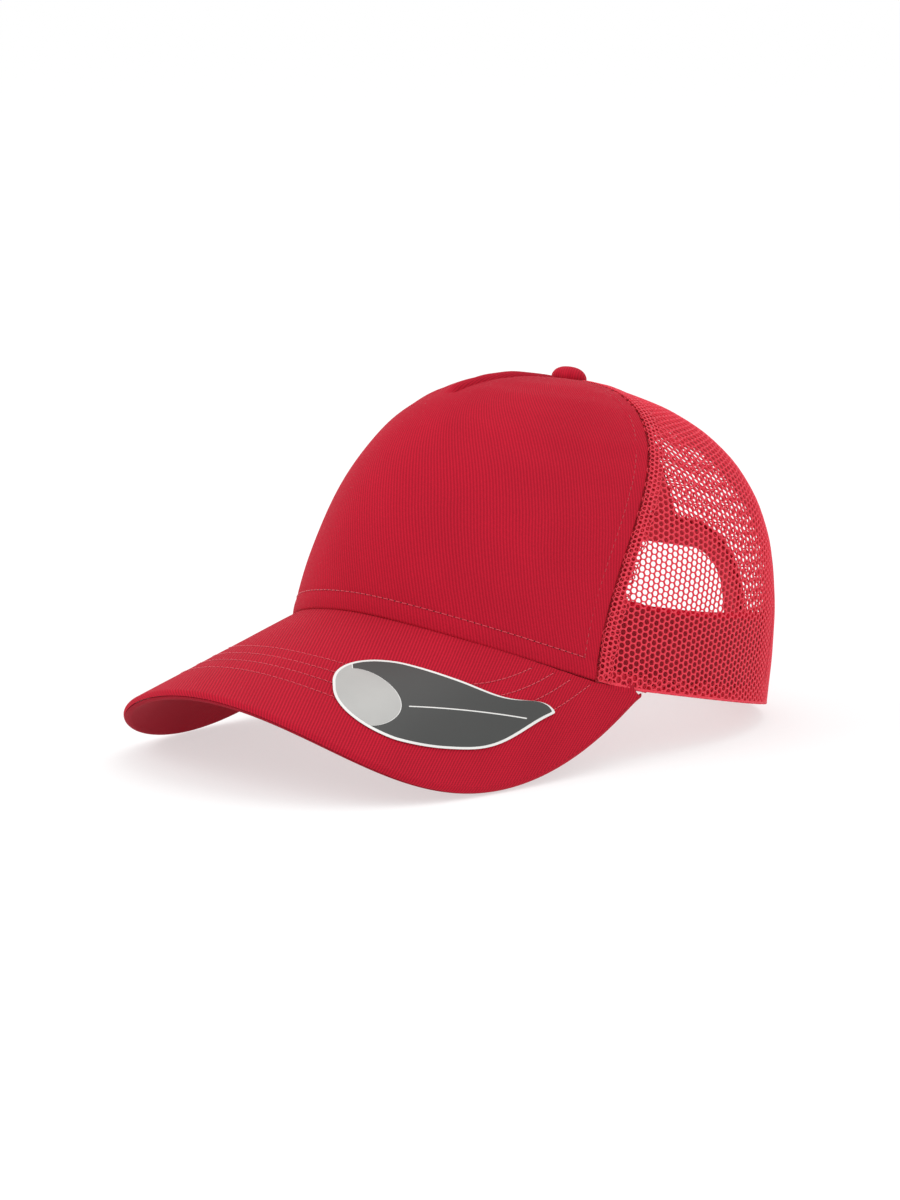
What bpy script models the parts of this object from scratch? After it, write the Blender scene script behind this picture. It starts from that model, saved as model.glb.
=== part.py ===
"""A five-panel trucker cap with a curved visor, resting on its visor tips and back hem.

The cap is modelled level, with its base plane at z = 0, its front towards -Y and the
wearer's left towards +X. The empty "cap" then tips it back to the way it rests on a table.
"""
import math

import bmesh
import bpy
import numpy as np
from mathutils import Matrix, Vector

MM = 0.001
QUARTER = math.pi / 2

# Crown: a rounded plan that closes up to the button.
CROWN_HEIGHT = 110 * MM
HALF_WIDTH = 79 * MM
FRONT_REACH = 107 * MM
BACK_REACH = 94.5 * MM
PLAN_EXPONENT = 2.15
FRONT_NARROWING = 0.04
BUTTON_SHIFT = -2 * MM
LEAN = -0.034
TAPER = (0.80, -0.02, 0.0, 0.13)
RISE = (1.06, -0.14, 0.14, -0.50)
BUTTON_RING = 3 * MM

# Seams, as angles from the front centre at the hem and at the button.
FRONT_SEAM = (math.radians(63), math.radians(88))
SIDE_SEAM = (math.radians(120), math.radians(134))
SEAM_GAP = 0.3 * MM

# Grid cells along and up each panel.
FRONT_GRID = (18, 16)
SIDE_GRID = (8, 16)
BACK_GRID = (10, 16)

# Layers, as depths below the crown's outer face.
TWILL = 0.9 * MM
BACKING_DEPTH = 1.2 * MM
BACKING = 0.6 * MM
NET = 1.2 * MM
TAPE_DEPTH = 2.3 * MM
TAPE = 0.5 * MM
TAPE_WIDTH = 12 * MM
TAPE_SECTOR = math.radians(19)
TAPE_HEM = 0.015
TAPE_TOP = 0.985
DART_START = 0.62
ARCH_TAPE_START = 0.50
TAPE_GRID = (2, 18)
INTERLINING_DEPTH = 3.1 * MM
INTERLINING = 0.5 * MM
INTERLINING_MARGIN = 0.015
BAND_DEPTH = 3.9 * MM
BAND = 0.8 * MM
BAND_HEM = 0.004
BAND_TOP = 0.213
BAND_END = math.radians(150)
BAND_GRID = (42, 3)
LABEL_DEPTH = 5.1 * MM
LABEL = 0.4 * MM
LABEL_ANGLE = math.radians(-138)
LABEL_HALF_TURN = math.radians(8)
LABEL_HEM = 0.03
LABEL_TOP = 0.27
LABEL_GRID = (3, 4)

# Visor: a sloping sheet bent round a cylinder.
VISOR_ANGLE = math.radians(75.3)
VISOR_END = math.radians(72)
VISOR_SEAM_HEIGHT = 13.5 * MM
VISOR_SLOPE = math.tan(math.radians(25.6))
VISOR_RADIUS = 82 * MM
VISOR_LENGTH = 71 * MM
VISOR_FULLNESS = 0.95
VISOR_FAN = 2.0
COVER = 0.8 * MM
BOARD = 1.4 * MM
PLY_GAP = 0.35 * MM
VISOR_STACK = 2 * COVER + BOARD + 2 * PLY_GAP
VISOR_CLEARANCE = 0.4 * MM
HEM_CLEARANCE = 1.1 * MM
BOARD_INSET = 0.03
VISOR_GRID = (26, 6)

# Deeper panels start higher, by this share of the profile for each metre of depth.
RISE_WITH_DEPTH = 8

# Sticker on the visor: a leaf with one blunt end, round a line that bows outwards.
STICKER_START = (27 * MM, 36.5 * MM)
STICKER_TIP = (84 * MM, -34 * MM)
STICKER_HALF_WIDTH = 17 * MM
STICKER_WIDEST = 0.264
STICKER_BLUNTNESS = 2.4
STICKER_BOW = (6 * MM, 12.3 * MM, 1.6 * MM)
STICKER_BOW_TOP = 0.52
STICKER_END_MARGIN = 0.006
STICKER = 0.3 * MM
STICKER_GRID = (18, 5)

# Opening at the back, with its binding and strap.
ARCH_HALF_WIDTH = 25 * MM
ARCH_HEIGHT = 55.5 * MM
ARCH_CORNER = 14 * MM
ARCH_LIFT = 0.4 * MM
BINDING_WIDTH = 9.5 * MM
BINDING = 0.5 * MM
BINDING_ROOM = 0.7 * MM
STRAP_BOTTOM = 1.5 * MM
STRAP_HEIGHT = 20 * MM
STRAP = 1.2 * MM
STRAP_CORNER = 6 * MM
STRAP_GRID = (24, 2)
BINDING_STEPS = 30
STRAP_MIDDLE = STRAP_BOTTOM + STRAP_HEIGHT / 2
HOLED_DEPTH = 2.5 * MM
PEGGED_DEPTH = 4.0 * MM
STUD_PITCH = 8 * MM
STUD_COUNT = 5
STUD_SIDES = 12
FIRST_HOLE = -12 * MM
HOLE_RADIUS = 2.6 * MM
PEG_RADIUS = 1.8 * MM
PEG_TIP_RADIUS = 1.4 * MM
PEG_HEIGHT = 2.0 * MM
PEG_ROOT = 0.4 * MM
HOLED_ROOT = 27.5 * MM
HOLED_TIP = -17 * MM
HOLED_AXIS = 22.5 * MM
PEGGED_ROOT = -38 * MM
PEGGED_TIP = 17 * MM
PEGGED_AXIS = -37 * MM

# Button parts, turned about the crown's top point; heights are from the crown's top.
BUTTON_RADIUS = 7 * MM
BUTTON_HEIGHT = 5 * MM
BUTTON_COVER = 0.6 * MM
BUTTON_SHELL = 0.4 * MM
RIVET_RADIUS = 1.4 * MM
RIVET_HEAD = 2.8 * MM
PLATE_DEPTH = 3.1 * MM
PLATE = 0.8 * MM
PLATE_HOLE = 1.8 * MM
TURN_STEPS = 20
COVER_STEPS = 5
SHELL_STEPS = 4

# Resting place: the tilt lowers the back until visor tips and back hem share one plane.
TILT = math.radians(11.6)
SIT_FORWARD = 44.6 * MM
SIT_HEIGHT = 18.25 * MM

# Rounds of the searches for a height or an angle.
SETTLING_ROUNDS = 12
HALVINGS = 40

RED_TWILL = ("red_twill", (0.50, 0.012, 0.030), 0.85, 0.0)
RED_NET = ("red_net", (0.60, 0.020, 0.045), 0.70, 0.0)
RED_TAPE = ("red_tape", (0.45, 0.012, 0.028), 0.85, 0.0)
RED_PLASTIC = ("red_plastic", (0.48, 0.012, 0.030), 0.40, 0.0)
WHITE_BACKING = ("white_backing", (0.75, 0.74, 0.71), 0.90, 0.0)
BOARD_PLASTIC = ("board_plastic", (0.70, 0.70, 0.68), 0.50, 0.0)
PALE_LABEL = ("pale_label", (0.80, 0.79, 0.76), 0.80, 0.0)
STICKER_FILM = ("sticker_film", (0.10, 0.10, 0.11), 0.30, 0.2)
BUTTON_METAL = ("button_metal", (0.60, 0.60, 0.61), 0.35, 1.0)


def clear_scene():
    for piece in list(bpy.data.objects):
        bpy.data.objects.remove(piece, do_unlink=True)


def collection(name):
    group = bpy.data.collections.new(name)
    bpy.context.scene.collection.children.link(group)
    return group


def move_to(piece, group):
    for owner in list(piece.users_collection):
        owner.objects.unlink(piece)
    group.objects.link(piece)


def material(finish):
    name, color, roughness, metallic = finish
    found = bpy.data.materials.get(name)
    if found:
        return found
    made = bpy.data.materials.new(name)
    made.use_nodes = True
    shader = made.node_tree.nodes["Principled BSDF"]
    shader.inputs["Base Color"].default_value = (*color, 1)
    shader.inputs["Roughness"].default_value = roughness
    shader.inputs["Metallic"].default_value = metallic
    made.diffuse_color = (*color, 1)
    return made


# ---- crown surface ----

def series(terms, phi):
    return sum(term * np.cos(order * phi) for order, term in enumerate(terms))


def signed_power(value, power):
    return np.sign(value) * np.abs(value) ** power


def crown(phi, s):
    """Points on the crown's outer face.

    phi goes round from the front centre towards the wearer's left. s climbs from 0 at the
    base plane to a quarter turn at the button.
    """
    phi, s = np.broadcast_arrays(np.asarray(phi, float), np.asarray(s, float))
    power = 2 / PLAN_EXPONENT
    shrink = np.cos(s) ** series(TAPER, phi)
    reach = np.where(np.cos(phi) > 0, FRONT_REACH, BACK_REACH)
    width = HALF_WIDTH * (1 - FRONT_NARROWING * np.cos(phi))
    z = CROWN_HEIGHT * np.sin(s) ** series(RISE, phi)
    x = width * signed_power(np.sin(phi), power) * shrink
    y = -reach * signed_power(np.cos(phi), power) * shrink + BUTTON_SHIFT * (1 - shrink) + LEAN * z
    return np.stack((x, y, z), axis=-1)


def inward(phi, s):
    """Unit normals into the crown."""
    turn = 0.004
    low = np.maximum(s - turn, 0.0005)
    high = np.minimum(s + turn, QUARTER - 0.0005)
    up = crown(phi, high) - crown(phi, low)
    along = crown(phi + turn, s) - crown(phi - turn, s)
    normal = np.cross(up, along)
    return normal / np.linalg.norm(normal, axis=-1, keepdims=True)


def crown_at_depth(phi, s, depth):
    depth = np.asarray(depth, float)
    return crown(phi, s) + inward(phi, s) * depth[..., None]


def climb_to_height(phi, z):
    return np.arcsin(np.clip(z / CROWN_HEIGHT, 0, 1) ** (1 / series(RISE, phi)))


def hem_height(phi):
    """The crown's lower edge: just above the visor in front, at z = 0 behind it."""
    z = np.zeros_like(phi)
    for _ in range(SETTLING_ROUNDS):
        point = crown(phi, climb_to_height(phi, z))
        above = visor_top(point[..., 0], point[..., 1]) + HEM_CLEARANCE
        z = np.where(np.abs(phi) < VISOR_ANGLE, np.maximum(above, 0), 0)
    return z


def ring_climb(phi):
    """The crown's upper edge, on the small ring round the rivet."""
    hem = crown(phi, np.zeros_like(phi))
    radius = np.hypot(hem[..., 0], hem[..., 1])
    return np.arccos((BUTTON_RING / radius) ** (1 / series(TAPER, phi)))


def panel_point(phi, t, depth):
    """A point a fraction t of the way up the crown's profile at phi, measured along it."""
    phi = np.asarray(phi, float)
    share = (1 - np.cos(np.pi * np.linspace(0, 1, 161))) / 2
    low = climb_to_height(phi, hem_height(phi))
    high = ring_climb(phi)
    climbs = low[:, None] + (high - low)[:, None] * share
    steps = np.linalg.norm(np.diff(crown(phi[:, None], climbs), axis=1), axis=-1)
    runs = np.concatenate((np.zeros((len(phi), 1)), np.cumsum(steps, axis=1)), axis=1)
    s = np.array([np.interp(part * run[-1], run, climb) for part, run, climb in zip(t, runs, climbs)])
    return crown_at_depth(phi, s, depth)


def seam_angle(seam, t):
    return seam[0] + (seam[1] - seam[0]) * np.sin(QUARTER * t) ** 2


def turn_for(phi, t, distance):
    """How far round the crown a distance along its surface goes."""
    turn = 0.01
    span = panel_point(phi + turn, t, 0 * t) - panel_point(phi - turn, t, 0 * t)
    return distance * 2 * turn / np.linalg.norm(span, axis=-1)


def back_point(x, z, depth):
    """A point on the back of the crown from its place across and its height."""
    x, z = np.broadcast_arrays(np.asarray(x, float), np.asarray(z, float))
    near = np.full(x.shape, math.radians(95))
    far = np.full(x.shape, math.pi)
    for _ in range(HALVINGS):
        middle = (near + far) / 2
        outside = crown(middle, climb_to_height(middle, z))[..., 0] > np.abs(x)
        near = np.where(outside, middle, near)
        far = np.where(outside, far, middle)
    phi = np.where(x < 0, -middle, middle)
    return crown_at_depth(phi, climb_to_height(phi, z), np.broadcast_to(depth, x.shape))


# ---- visor surface ----

def visor_top(x, y):
    """Height of the visor's top face."""
    sag = VISOR_RADIUS - np.sqrt(np.maximum(VISOR_RADIUS ** 2 - x ** 2, 0))
    return VISOR_SEAM_HEIGHT + (y + FRONT_REACH) * VISOR_SLOPE - sag


def visor_up(x):
    """Unit normals out of the visor's top face."""
    side = x / VISOR_RADIUS
    level = np.sqrt(1 - side ** 2)
    normal = np.stack((side, -level * VISOR_SLOPE, level), axis=-1)
    return normal / np.linalg.norm(normal, axis=-1, keepdims=True)


def visor_point(across, forward, depth):
    """A point from its length round the cylinder, its reach ahead of the crown and its depth."""
    x = VISOR_RADIUS * np.sin(across / VISOR_RADIUS)
    y = -FRONT_REACH - forward
    top = np.stack((x, y, visor_top(x, y)), axis=-1)
    return top - visor_up(x) * depth


def visor_seam(phi):
    """Where the visor meets the crown, as lengths across and forward."""
    z = np.zeros_like(phi)
    clear = np.full(phi.shape, -VISOR_CLEARANCE)
    for _ in range(SETTLING_ROUNDS):
        point = crown_at_depth(phi, climb_to_height(phi, z), clear)
        z = np.maximum(visor_top(point[..., 0], point[..., 1]), 0)
    return VISOR_RADIUS * np.arcsin(point[..., 0] / VISOR_RADIUS), -FRONT_REACH - point[..., 1]


def visor_place(phi, reach, depth):
    """A point a share reach of the way from the seam to the visor's edge."""
    across, forward = visor_seam(phi)
    length = reach * VISOR_LENGTH * np.cos(QUARTER * phi / VISOR_ANGLE) ** VISOR_FULLNESS
    across = across + length * np.sin(VISOR_FAN * phi)
    forward = forward + length * np.cos(VISOR_FAN * phi)
    return visor_point(across, forward, depth)


# ---- making solids ----

def skin(name, grid, thickness, finish, place, owner):
    """A grid laid by place(u, v), thickened on the side away from its face."""
    columns, rows = grid
    bpy.ops.mesh.primitive_grid_add(x_subdivisions=columns, y_subdivisions=rows, size=1)
    piece = bpy.context.object
    flat = np.array([corner.co[:2] for corner in piece.data.vertices]) + 0.5
    piece.data.vertices.foreach_set("co", place(flat[:, 0], flat[:, 1]).ravel())
    solidify = piece.modifiers.new("Thickness", "SOLIDIFY")
    solidify.thickness = thickness
    solidify.offset = -1
    solidify.use_even_offset = True
    return named(piece, name, finish, owner)


def turned(name, profile, finish, owner):
    """A profile of radius and height pairs turned about the crown's top point."""
    mesh = bpy.data.meshes.new(name)
    corners = [(radius, 0, height) for radius, height in profile]
    links = [(i, i + 1) for i in range(len(profile) - 1)]
    if profile[0][0] > 0:
        links.append((len(profile) - 1, 0))
    mesh.from_pydata(corners, links, [])
    piece = bpy.data.objects.new(name, mesh)
    bpy.context.scene.collection.objects.link(piece)
    screw = piece.modifiers.new("Turn", "SCREW")
    screw.steps = TURN_STEPS
    screw.render_steps = TURN_STEPS
    screw.use_merge_vertices = True
    screw.merge_threshold = 0.01 * MM
    piece.location = (0, BUTTON_SHIFT + LEAN * CROWN_HEIGHT, CROWN_HEIGHT)
    return named(piece, name, finish, owner)


def named(piece, name, finish, owner):
    piece.name = name
    piece.data.name = name
    piece.data.materials.clear()
    piece.data.materials.append(material(finish))
    move_to(piece, owner["parts"])
    piece.parent = owner["cap"]
    return piece


def boolean(piece, tool, operation):
    cut = piece.modifiers.new(operation.title(), "BOOLEAN")
    cut.operation = operation
    cut.solver = "EXACT"
    cut.object = tool


def as_tool(piece, name, owner):
    piece.name = name
    piece.hide_render = True
    piece.display_type = "WIRE"
    move_to(piece, owner["tools"])
    piece.parent = owner["cap"]
    return piece


# ---- crown panels ----

def panel(name, left_edge, right_edge, depth, thickness, grid, finish, owner):
    """A crown panel between two edges, each an angle as a function of height."""
    def place(u, v):
        v = v + (1 - v) * depth * RISE_WITH_DEPTH
        first = left_edge(v)
        last = right_edge(v)
        first = first + turn_for(first, v, SEAM_GAP / 2)
        last = last - turn_for(last, v, SEAM_GAP / 2)
        return panel_point(first + (last - first) * u, v, np.full(u.shape, depth))
    return skin(name, grid, thickness, finish, place, owner)


def mirrored(edge):
    return lambda v: -edge(v)


def front_edge(v):
    return seam_angle(FRONT_SEAM, v)


def side_edge(v):
    return seam_angle(SIDE_SEAM, v)


def back_edge(v):
    return np.full(v.shape, math.pi)


def crown_panels(owner):
    panel("front_panel", mirrored(front_edge), front_edge, 0, TWILL, FRONT_GRID, RED_TWILL, owner)
    panel("front_backing", mirrored(front_edge), front_edge, BACKING_DEPTH, BACKING, FRONT_GRID,
          WHITE_BACKING, owner)
    panel("side_mesh_left", front_edge, side_edge, 0, NET, SIDE_GRID, RED_NET, owner)
    panel("side_mesh_right", mirrored(side_edge), mirrored(front_edge), 0, NET, SIDE_GRID, RED_NET, owner)
    left = panel("back_mesh_left", side_edge, back_edge, 0, NET, BACK_GRID, RED_NET, owner)
    right = panel("back_mesh_right", mirrored(back_edge), mirrored(side_edge), 0, NET, BACK_GRID,
                  RED_NET, owner)
    opening = arch_tool(owner)
    boolean(left, opening, "DIFFERENCE")
    boolean(right, opening, "DIFFERENCE")


def arch_tool(owner):
    """A block with two rounded upper edges that cuts the opening at the back."""
    room = BINDING + BINDING_ROOM
    bpy.ops.mesh.primitive_cube_add(size=1)
    block = bpy.context.object
    mesh = bmesh.new()
    mesh.from_mesh(block.data)
    top = ARCH_HEIGHT + room
    for corner in mesh.verts:
        corner.co.x *= 2 * (ARCH_HALF_WIDTH + room)
        corner.co.y = BACK_REACH + corner.co.y * BACK_REACH
        corner.co.z = top if corner.co.z > 0 else -ARCH_CORNER
    upper = [edge for edge in mesh.edges
             if all(corner.co.z > 0 for corner in edge.verts)
             and edge.verts[0].co.x * edge.verts[1].co.x > 0
             and edge.verts[0].co.y != edge.verts[1].co.y]
    bmesh.ops.bevel(mesh, geom=upper, offset=ARCH_CORNER + room, segments=6, profile=0.5, affect="EDGES")
    mesh.to_mesh(block.data)
    mesh.free()
    return as_tool(block, "arch_cutter", owner)


# ---- seam tapes ----

def tape(name, angle, low, high, owner):
    """A strip along a seam inside the crown, narrowing where the tapes crowd at the button."""
    def place(u, v):
        t = low + (high - low) * v
        phi = angle(t)
        middle = panel_point(phi, t, 0 * t)
        radius = np.hypot(middle[:, 0], middle[:, 1] - BUTTON_SHIFT)
        half = np.minimum(TAPE_WIDTH / 2, radius * math.tan(TAPE_SECTOR))
        return panel_point(phi + turn_for(phi, t, half) * (2 * u - 1), t, np.full(u.shape, TAPE_DEPTH))
    return skin(name, TAPE_GRID, TAPE, RED_TAPE, place, owner)


def seam_tapes(owner):
    tape("dart_tape", lambda t: 0 * t, DART_START, TAPE_TOP, owner)
    tape("front_seam_tape_left", front_edge, TAPE_HEM, TAPE_TOP, owner)
    tape("front_seam_tape_right", mirrored(front_edge), TAPE_HEM, TAPE_TOP, owner)
    tape("side_seam_tape_left", side_edge, TAPE_HEM, TAPE_TOP, owner)
    tape("side_seam_tape_right", mirrored(side_edge), TAPE_HEM, TAPE_TOP, owner)
    tape("back_seam_tape", back_edge, ARCH_TAPE_START, TAPE_TOP, owner)


# ---- sweatband ----

def band(name, depth, thickness, low, high, drop, finish, owner):
    """A strip round the inside of the hem, open behind for the strap."""
    def place(u, v):
        phi = BAND_END * (2 * u - 1)
        points = panel_point(phi, low + (high - low) * v, np.full(u.shape, depth))
        points[:, 2] -= (1 - v) * np.minimum(hem_height(phi), drop)
        return points
    return skin(name, BAND_GRID, thickness, finish, place, owner)


def inside_parts(owner):
    band("sweatband", BAND_DEPTH, BAND, BAND_HEM, BAND_TOP, VISOR_STACK, RED_TWILL, owner)
    band("sweatband_interlining", INTERLINING_DEPTH, INTERLINING, INTERLINING_MARGIN,
         BAND_TOP - INTERLINING_MARGIN, 0, RED_TAPE, owner)

    def place(u, v):
        phi = LABEL_ANGLE + LABEL_HALF_TURN * (2 * u - 1)
        t = LABEL_HEM + (LABEL_TOP - LABEL_HEM) * v
        return panel_point(phi, t, np.full(u.shape, LABEL_DEPTH))
    skin("care_label", LABEL_GRID, LABEL, PALE_LABEL, place, owner)


# ---- visor ----

def ply(name, depth, thickness, inset, finish, owner):
    """One layer of the visor; the grid runs from the visor's edge back to the seam."""
    def place(u, v):
        phi = VISOR_END * (2 * u - 1)
        return visor_place(phi, (1 - v) * (1 - inset), depth)
    return skin(name, VISOR_GRID, thickness, finish, place, owner)


def leaf(along):
    """The leaf's half width and the offset of its middle line, by the share of its length."""
    before_widest = np.clip(1 - along / STICKER_WIDEST, 0, 1)
    rising = (1 - before_widest ** STICKER_BLUNTNESS) ** (1 / STICKER_BLUNTNESS)
    narrowing = np.clip((along - STICKER_WIDEST) / (1 - STICKER_WIDEST), 0, 1)
    half = STICKER_HALF_WIDTH * rising * (1 - narrowing ** 1.25) ** 0.75
    start, top, end = STICKER_BOW
    before = np.sin(QUARTER * np.clip(along / STICKER_BOW_TOP, 0, 1)) ** 1.1
    after = np.clip((along - STICKER_BOW_TOP) / (1 - STICKER_BOW_TOP), 0, 1)
    fall = (1 - np.cos(math.pi * after ** 1.75)) / 2
    return half, start + (top - start) * before + (end - top) * fall


def sticker_place(u, v):
    """A place on the leaf, from its blunt end to its tip and from its outer side inwards."""
    along = STICKER_END_MARGIN + (1 - 2 * STICKER_END_MARGIN) * (1 - np.cos(math.pi * u)) / 2
    half, middle = leaf(along)
    side = middle + half * (1 - 2 * v)
    run = np.subtract(STICKER_TIP, STICKER_START)
    length = np.hypot(*run)
    ahead = run / length
    beside = (-ahead[1], ahead[0])
    across = STICKER_START[0] + ahead[0] * along * length + beside[0] * side
    forward = STICKER_START[1] + ahead[1] * along * length + beside[1] * side
    return visor_point(across, forward, -PLY_GAP - STICKER)


def visor_parts(owner):
    board_depth = COVER + PLY_GAP
    under_depth = board_depth + BOARD + PLY_GAP
    ply("visor_top_cover", 0, COVER, 0, RED_TWILL, owner)
    ply("visor_board", board_depth, BOARD, BOARD_INSET, BOARD_PLASTIC, owner)
    ply("visor_under_cover", under_depth, COVER, 0, RED_TWILL, owner)
    skin("visor_sticker", STICKER_GRID, STICKER, STICKER_FILM, sticker_place, owner)


# ---- arch binding and strap ----

def arch_line(share):
    """Places across and up along the arch, with the direction away from the opening."""
    level = ARCH_HALF_WIDTH - ARCH_CORNER
    bend = QUARTER * ARCH_CORNER
    straight = ARCH_HEIGHT - ARCH_CORNER
    run = np.abs(2 * share - 1) * (level + bend + straight)
    angle = np.clip((run - level) / ARCH_CORNER, 0, QUARTER)
    x = np.minimum(run, level) + ARCH_CORNER * np.sin(angle)
    z = straight + ARCH_CORNER * np.cos(angle) - np.clip(run - level - bend, 0, None)
    side = np.where(share < 0.5, -1, 1)
    return side * x, z, side * np.sin(angle), np.cos(angle)


def arch_binding(owner):
    """A folded strip over the cut edge: outer leg, fold and inner leg."""
    outside = -(BINDING + BINDING_ROOM)
    inside = NET + BINDING_ROOM + BINDING
    widths = (BINDING_WIDTH, BINDING_WIDTH / 2, BINDING, 0, 0, BINDING, BINDING_WIDTH / 2, BINDING_WIDTH)
    depths = (outside, outside, outside, outside + BINDING, inside - BINDING, inside, inside, inside)
    last = len(widths) - 1

    def place(u, v):
        width = np.interp(v * last, range(last + 1), widths)
        depth = np.interp(v * last, range(last + 1), depths)
        x, z, out_x, out_z = arch_line(u)
        return back_point(x + out_x * width, z + out_z * width + ARCH_LIFT, depth)
    skin("arch_binding", (BINDING_STEPS, last), BINDING, RED_TAPE, place, owner)


def strap(name, root, tip, pivot, depth, owner):
    """A flat band along the hem from its sewn root to its rounded tip, with its origin at pivot."""
    right = min(root, tip)
    left = max(root, tip)

    def place(u, v):
        x = left + (right - left) * u
        from_tip = np.minimum(np.abs(x - tip), STRAP_CORNER)
        corner = np.sqrt(STRAP_CORNER ** 2 - (STRAP_CORNER - from_tip) ** 2)
        half = STRAP_HEIGHT / 2 - STRAP_CORNER + corner
        return back_point(x, STRAP_MIDDLE + half * (2 * v - 1), depth)
    piece = skin(name, STRAP_GRID, STRAP, RED_PLASTIC, place, owner)
    centre = Vector(back_point(pivot, STRAP_MIDDLE, depth + STRAP / 2))
    piece.data.transform(Matrix.Translation(-centre))
    piece.location = centre
    return piece


def studs(name, first, inner_depth, outer_depth, inner_radius, outer_radius, owner):
    """A row of round studs standing square to the strap, in one tool."""
    row = bmesh.new()
    for number in range(STUD_COUNT):
        x = first + number * STUD_PITCH
        inner = Vector(back_point(x, STRAP_MIDDLE, inner_depth))
        outer = Vector(back_point(x, STRAP_MIDDLE, outer_depth))
        square = (outer - inner).to_track_quat("Z", "Y").to_matrix().to_4x4()
        bmesh.ops.create_cone(
            row, cap_ends=True, segments=STUD_SIDES, radius1=inner_radius, radius2=outer_radius,
            depth=(outer - inner).length, matrix=Matrix.Translation((inner + outer) / 2) @ square)
    mesh = bpy.data.meshes.new(name)
    row.to_mesh(mesh)
    row.free()
    tool = bpy.data.objects.new(name, mesh)
    bpy.context.scene.collection.objects.link(tool)
    return as_tool(tool, name, owner)


def strap_parts(owner):
    holed = strap("strap_holes", HOLED_ROOT, HOLED_TIP, HOLED_AXIS, HOLED_DEPTH, owner)
    through = STRAP + PLY_GAP
    punches = studs("hole_cutter", FIRST_HOLE, HOLED_DEPTH + through, HOLED_DEPTH - PLY_GAP,
                    HOLE_RADIUS, HOLE_RADIUS, owner)
    boolean(holed, punches, "DIFFERENCE")
    pegged = strap("strap_pegs", PEGGED_ROOT, PEGGED_TIP, PEGGED_AXIS, PEGGED_DEPTH, owner)
    pegs = studs("peg_row", FIRST_HOLE - STUD_PITCH, PEGGED_DEPTH + PEG_ROOT, PEGGED_DEPTH - PEG_HEIGHT,
                 PEG_RADIUS, PEG_TIP_RADIUS, owner)
    boolean(pegged, pegs, "UNION")


# ---- button ----

def dome(radius, height, steps):
    """Radius and height pairs down a dome from its top to its rim."""
    turns = [QUARTER * step / steps for step in range(steps + 1)]
    return [(radius * math.sin(turn), height * math.cos(turn)) for turn in turns]


def button_parts(owner):
    outer = dome(BUTTON_RADIUS, BUTTON_HEIGHT, COVER_STEPS)
    inner = dome(BUTTON_RADIUS - BUTTON_COVER, BUTTON_HEIGHT - BUTTON_COVER, COVER_STEPS)
    turned("button_cover", lifted(outer + inner[::-1]), RED_TWILL, owner)
    room = BUTTON_COVER + PLY_GAP
    outer = dome(BUTTON_RADIUS - room, BUTTON_HEIGHT - room, SHELL_STEPS)
    room += BUTTON_SHELL
    inner = dome(BUTTON_RADIUS - room, BUTTON_HEIGHT - room, SHELL_STEPS)
    turned("button_shell", lifted(outer + inner[::-1]), BUTTON_METAL, owner)
    top = BUTTON_HEIGHT - room - PLY_GAP
    under = -PLATE_DEPTH - PLATE - PLY_GAP
    rivet = [(0, top), (RIVET_RADIUS, top), (RIVET_RADIUS, under), (RIVET_HEAD, under),
             (RIVET_HEAD, under - PLATE), (0, under - PLATE)]
    turned("button_rivet", rivet, BUTTON_METAL, owner)
    plate = [(PLATE_HOLE, -PLATE_DEPTH), (BUTTON_RADIUS, -PLATE_DEPTH),
             (BUTTON_RADIUS, -PLATE_DEPTH - PLATE), (PLATE_HOLE, -PLATE_DEPTH - PLATE)]
    turned("button_backplate", plate, BUTTON_METAL, owner)


def lifted(profile):
    """The same profile just clear of the crown."""
    return [(radius, height + PLY_GAP) for radius, height in profile]


def build():
    clear_scene()
    owner = {"parts": collection("trucker_cap"), "tools": collection("cutters")}
    cap = bpy.data.objects.new("cap", None)
    owner["parts"].objects.link(cap)
    cap.rotation_euler = (-TILT, 0, 0)
    cap.location = (0, SIT_FORWARD, SIT_HEIGHT)
    owner["cap"] = cap
    crown_panels(owner)
    seam_tapes(owner)
    inside_parts(owner)
    visor_parts(owner)
    arch_binding(owner)
    strap_parts(owner)
    button_parts(owner)


build()
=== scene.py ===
"""The looks of a five-panel trucker cap: twill front and visor, knitted net, trims and straps.

Shapes are worked out in the cap's level frame, base plane at z = 0, front towards -Y and the
wearer's left towards +X, and then tipped back to the way the cap rests.
"""
import math

import bpy
import numpy as np
from mathutils import Matrix, Vector


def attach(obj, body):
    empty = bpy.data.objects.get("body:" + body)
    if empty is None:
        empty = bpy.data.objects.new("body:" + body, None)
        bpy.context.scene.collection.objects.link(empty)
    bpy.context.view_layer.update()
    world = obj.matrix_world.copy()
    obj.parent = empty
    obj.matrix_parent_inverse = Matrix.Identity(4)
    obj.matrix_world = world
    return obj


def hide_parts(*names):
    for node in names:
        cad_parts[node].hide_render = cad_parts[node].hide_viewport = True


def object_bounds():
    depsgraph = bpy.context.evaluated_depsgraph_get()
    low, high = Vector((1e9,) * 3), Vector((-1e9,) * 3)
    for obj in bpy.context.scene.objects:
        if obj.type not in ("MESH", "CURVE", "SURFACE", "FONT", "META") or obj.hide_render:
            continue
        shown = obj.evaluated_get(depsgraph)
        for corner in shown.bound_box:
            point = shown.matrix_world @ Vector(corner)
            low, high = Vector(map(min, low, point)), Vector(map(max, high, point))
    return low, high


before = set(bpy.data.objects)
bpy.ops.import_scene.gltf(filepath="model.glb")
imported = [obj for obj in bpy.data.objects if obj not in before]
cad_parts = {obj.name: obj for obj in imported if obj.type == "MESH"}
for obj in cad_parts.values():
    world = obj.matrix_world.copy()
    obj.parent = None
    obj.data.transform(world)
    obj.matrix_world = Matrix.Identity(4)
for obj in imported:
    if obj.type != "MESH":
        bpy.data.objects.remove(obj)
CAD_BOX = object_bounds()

MM = 0.001
DEG = math.pi / 180
QUARTER = math.pi / 2
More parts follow.
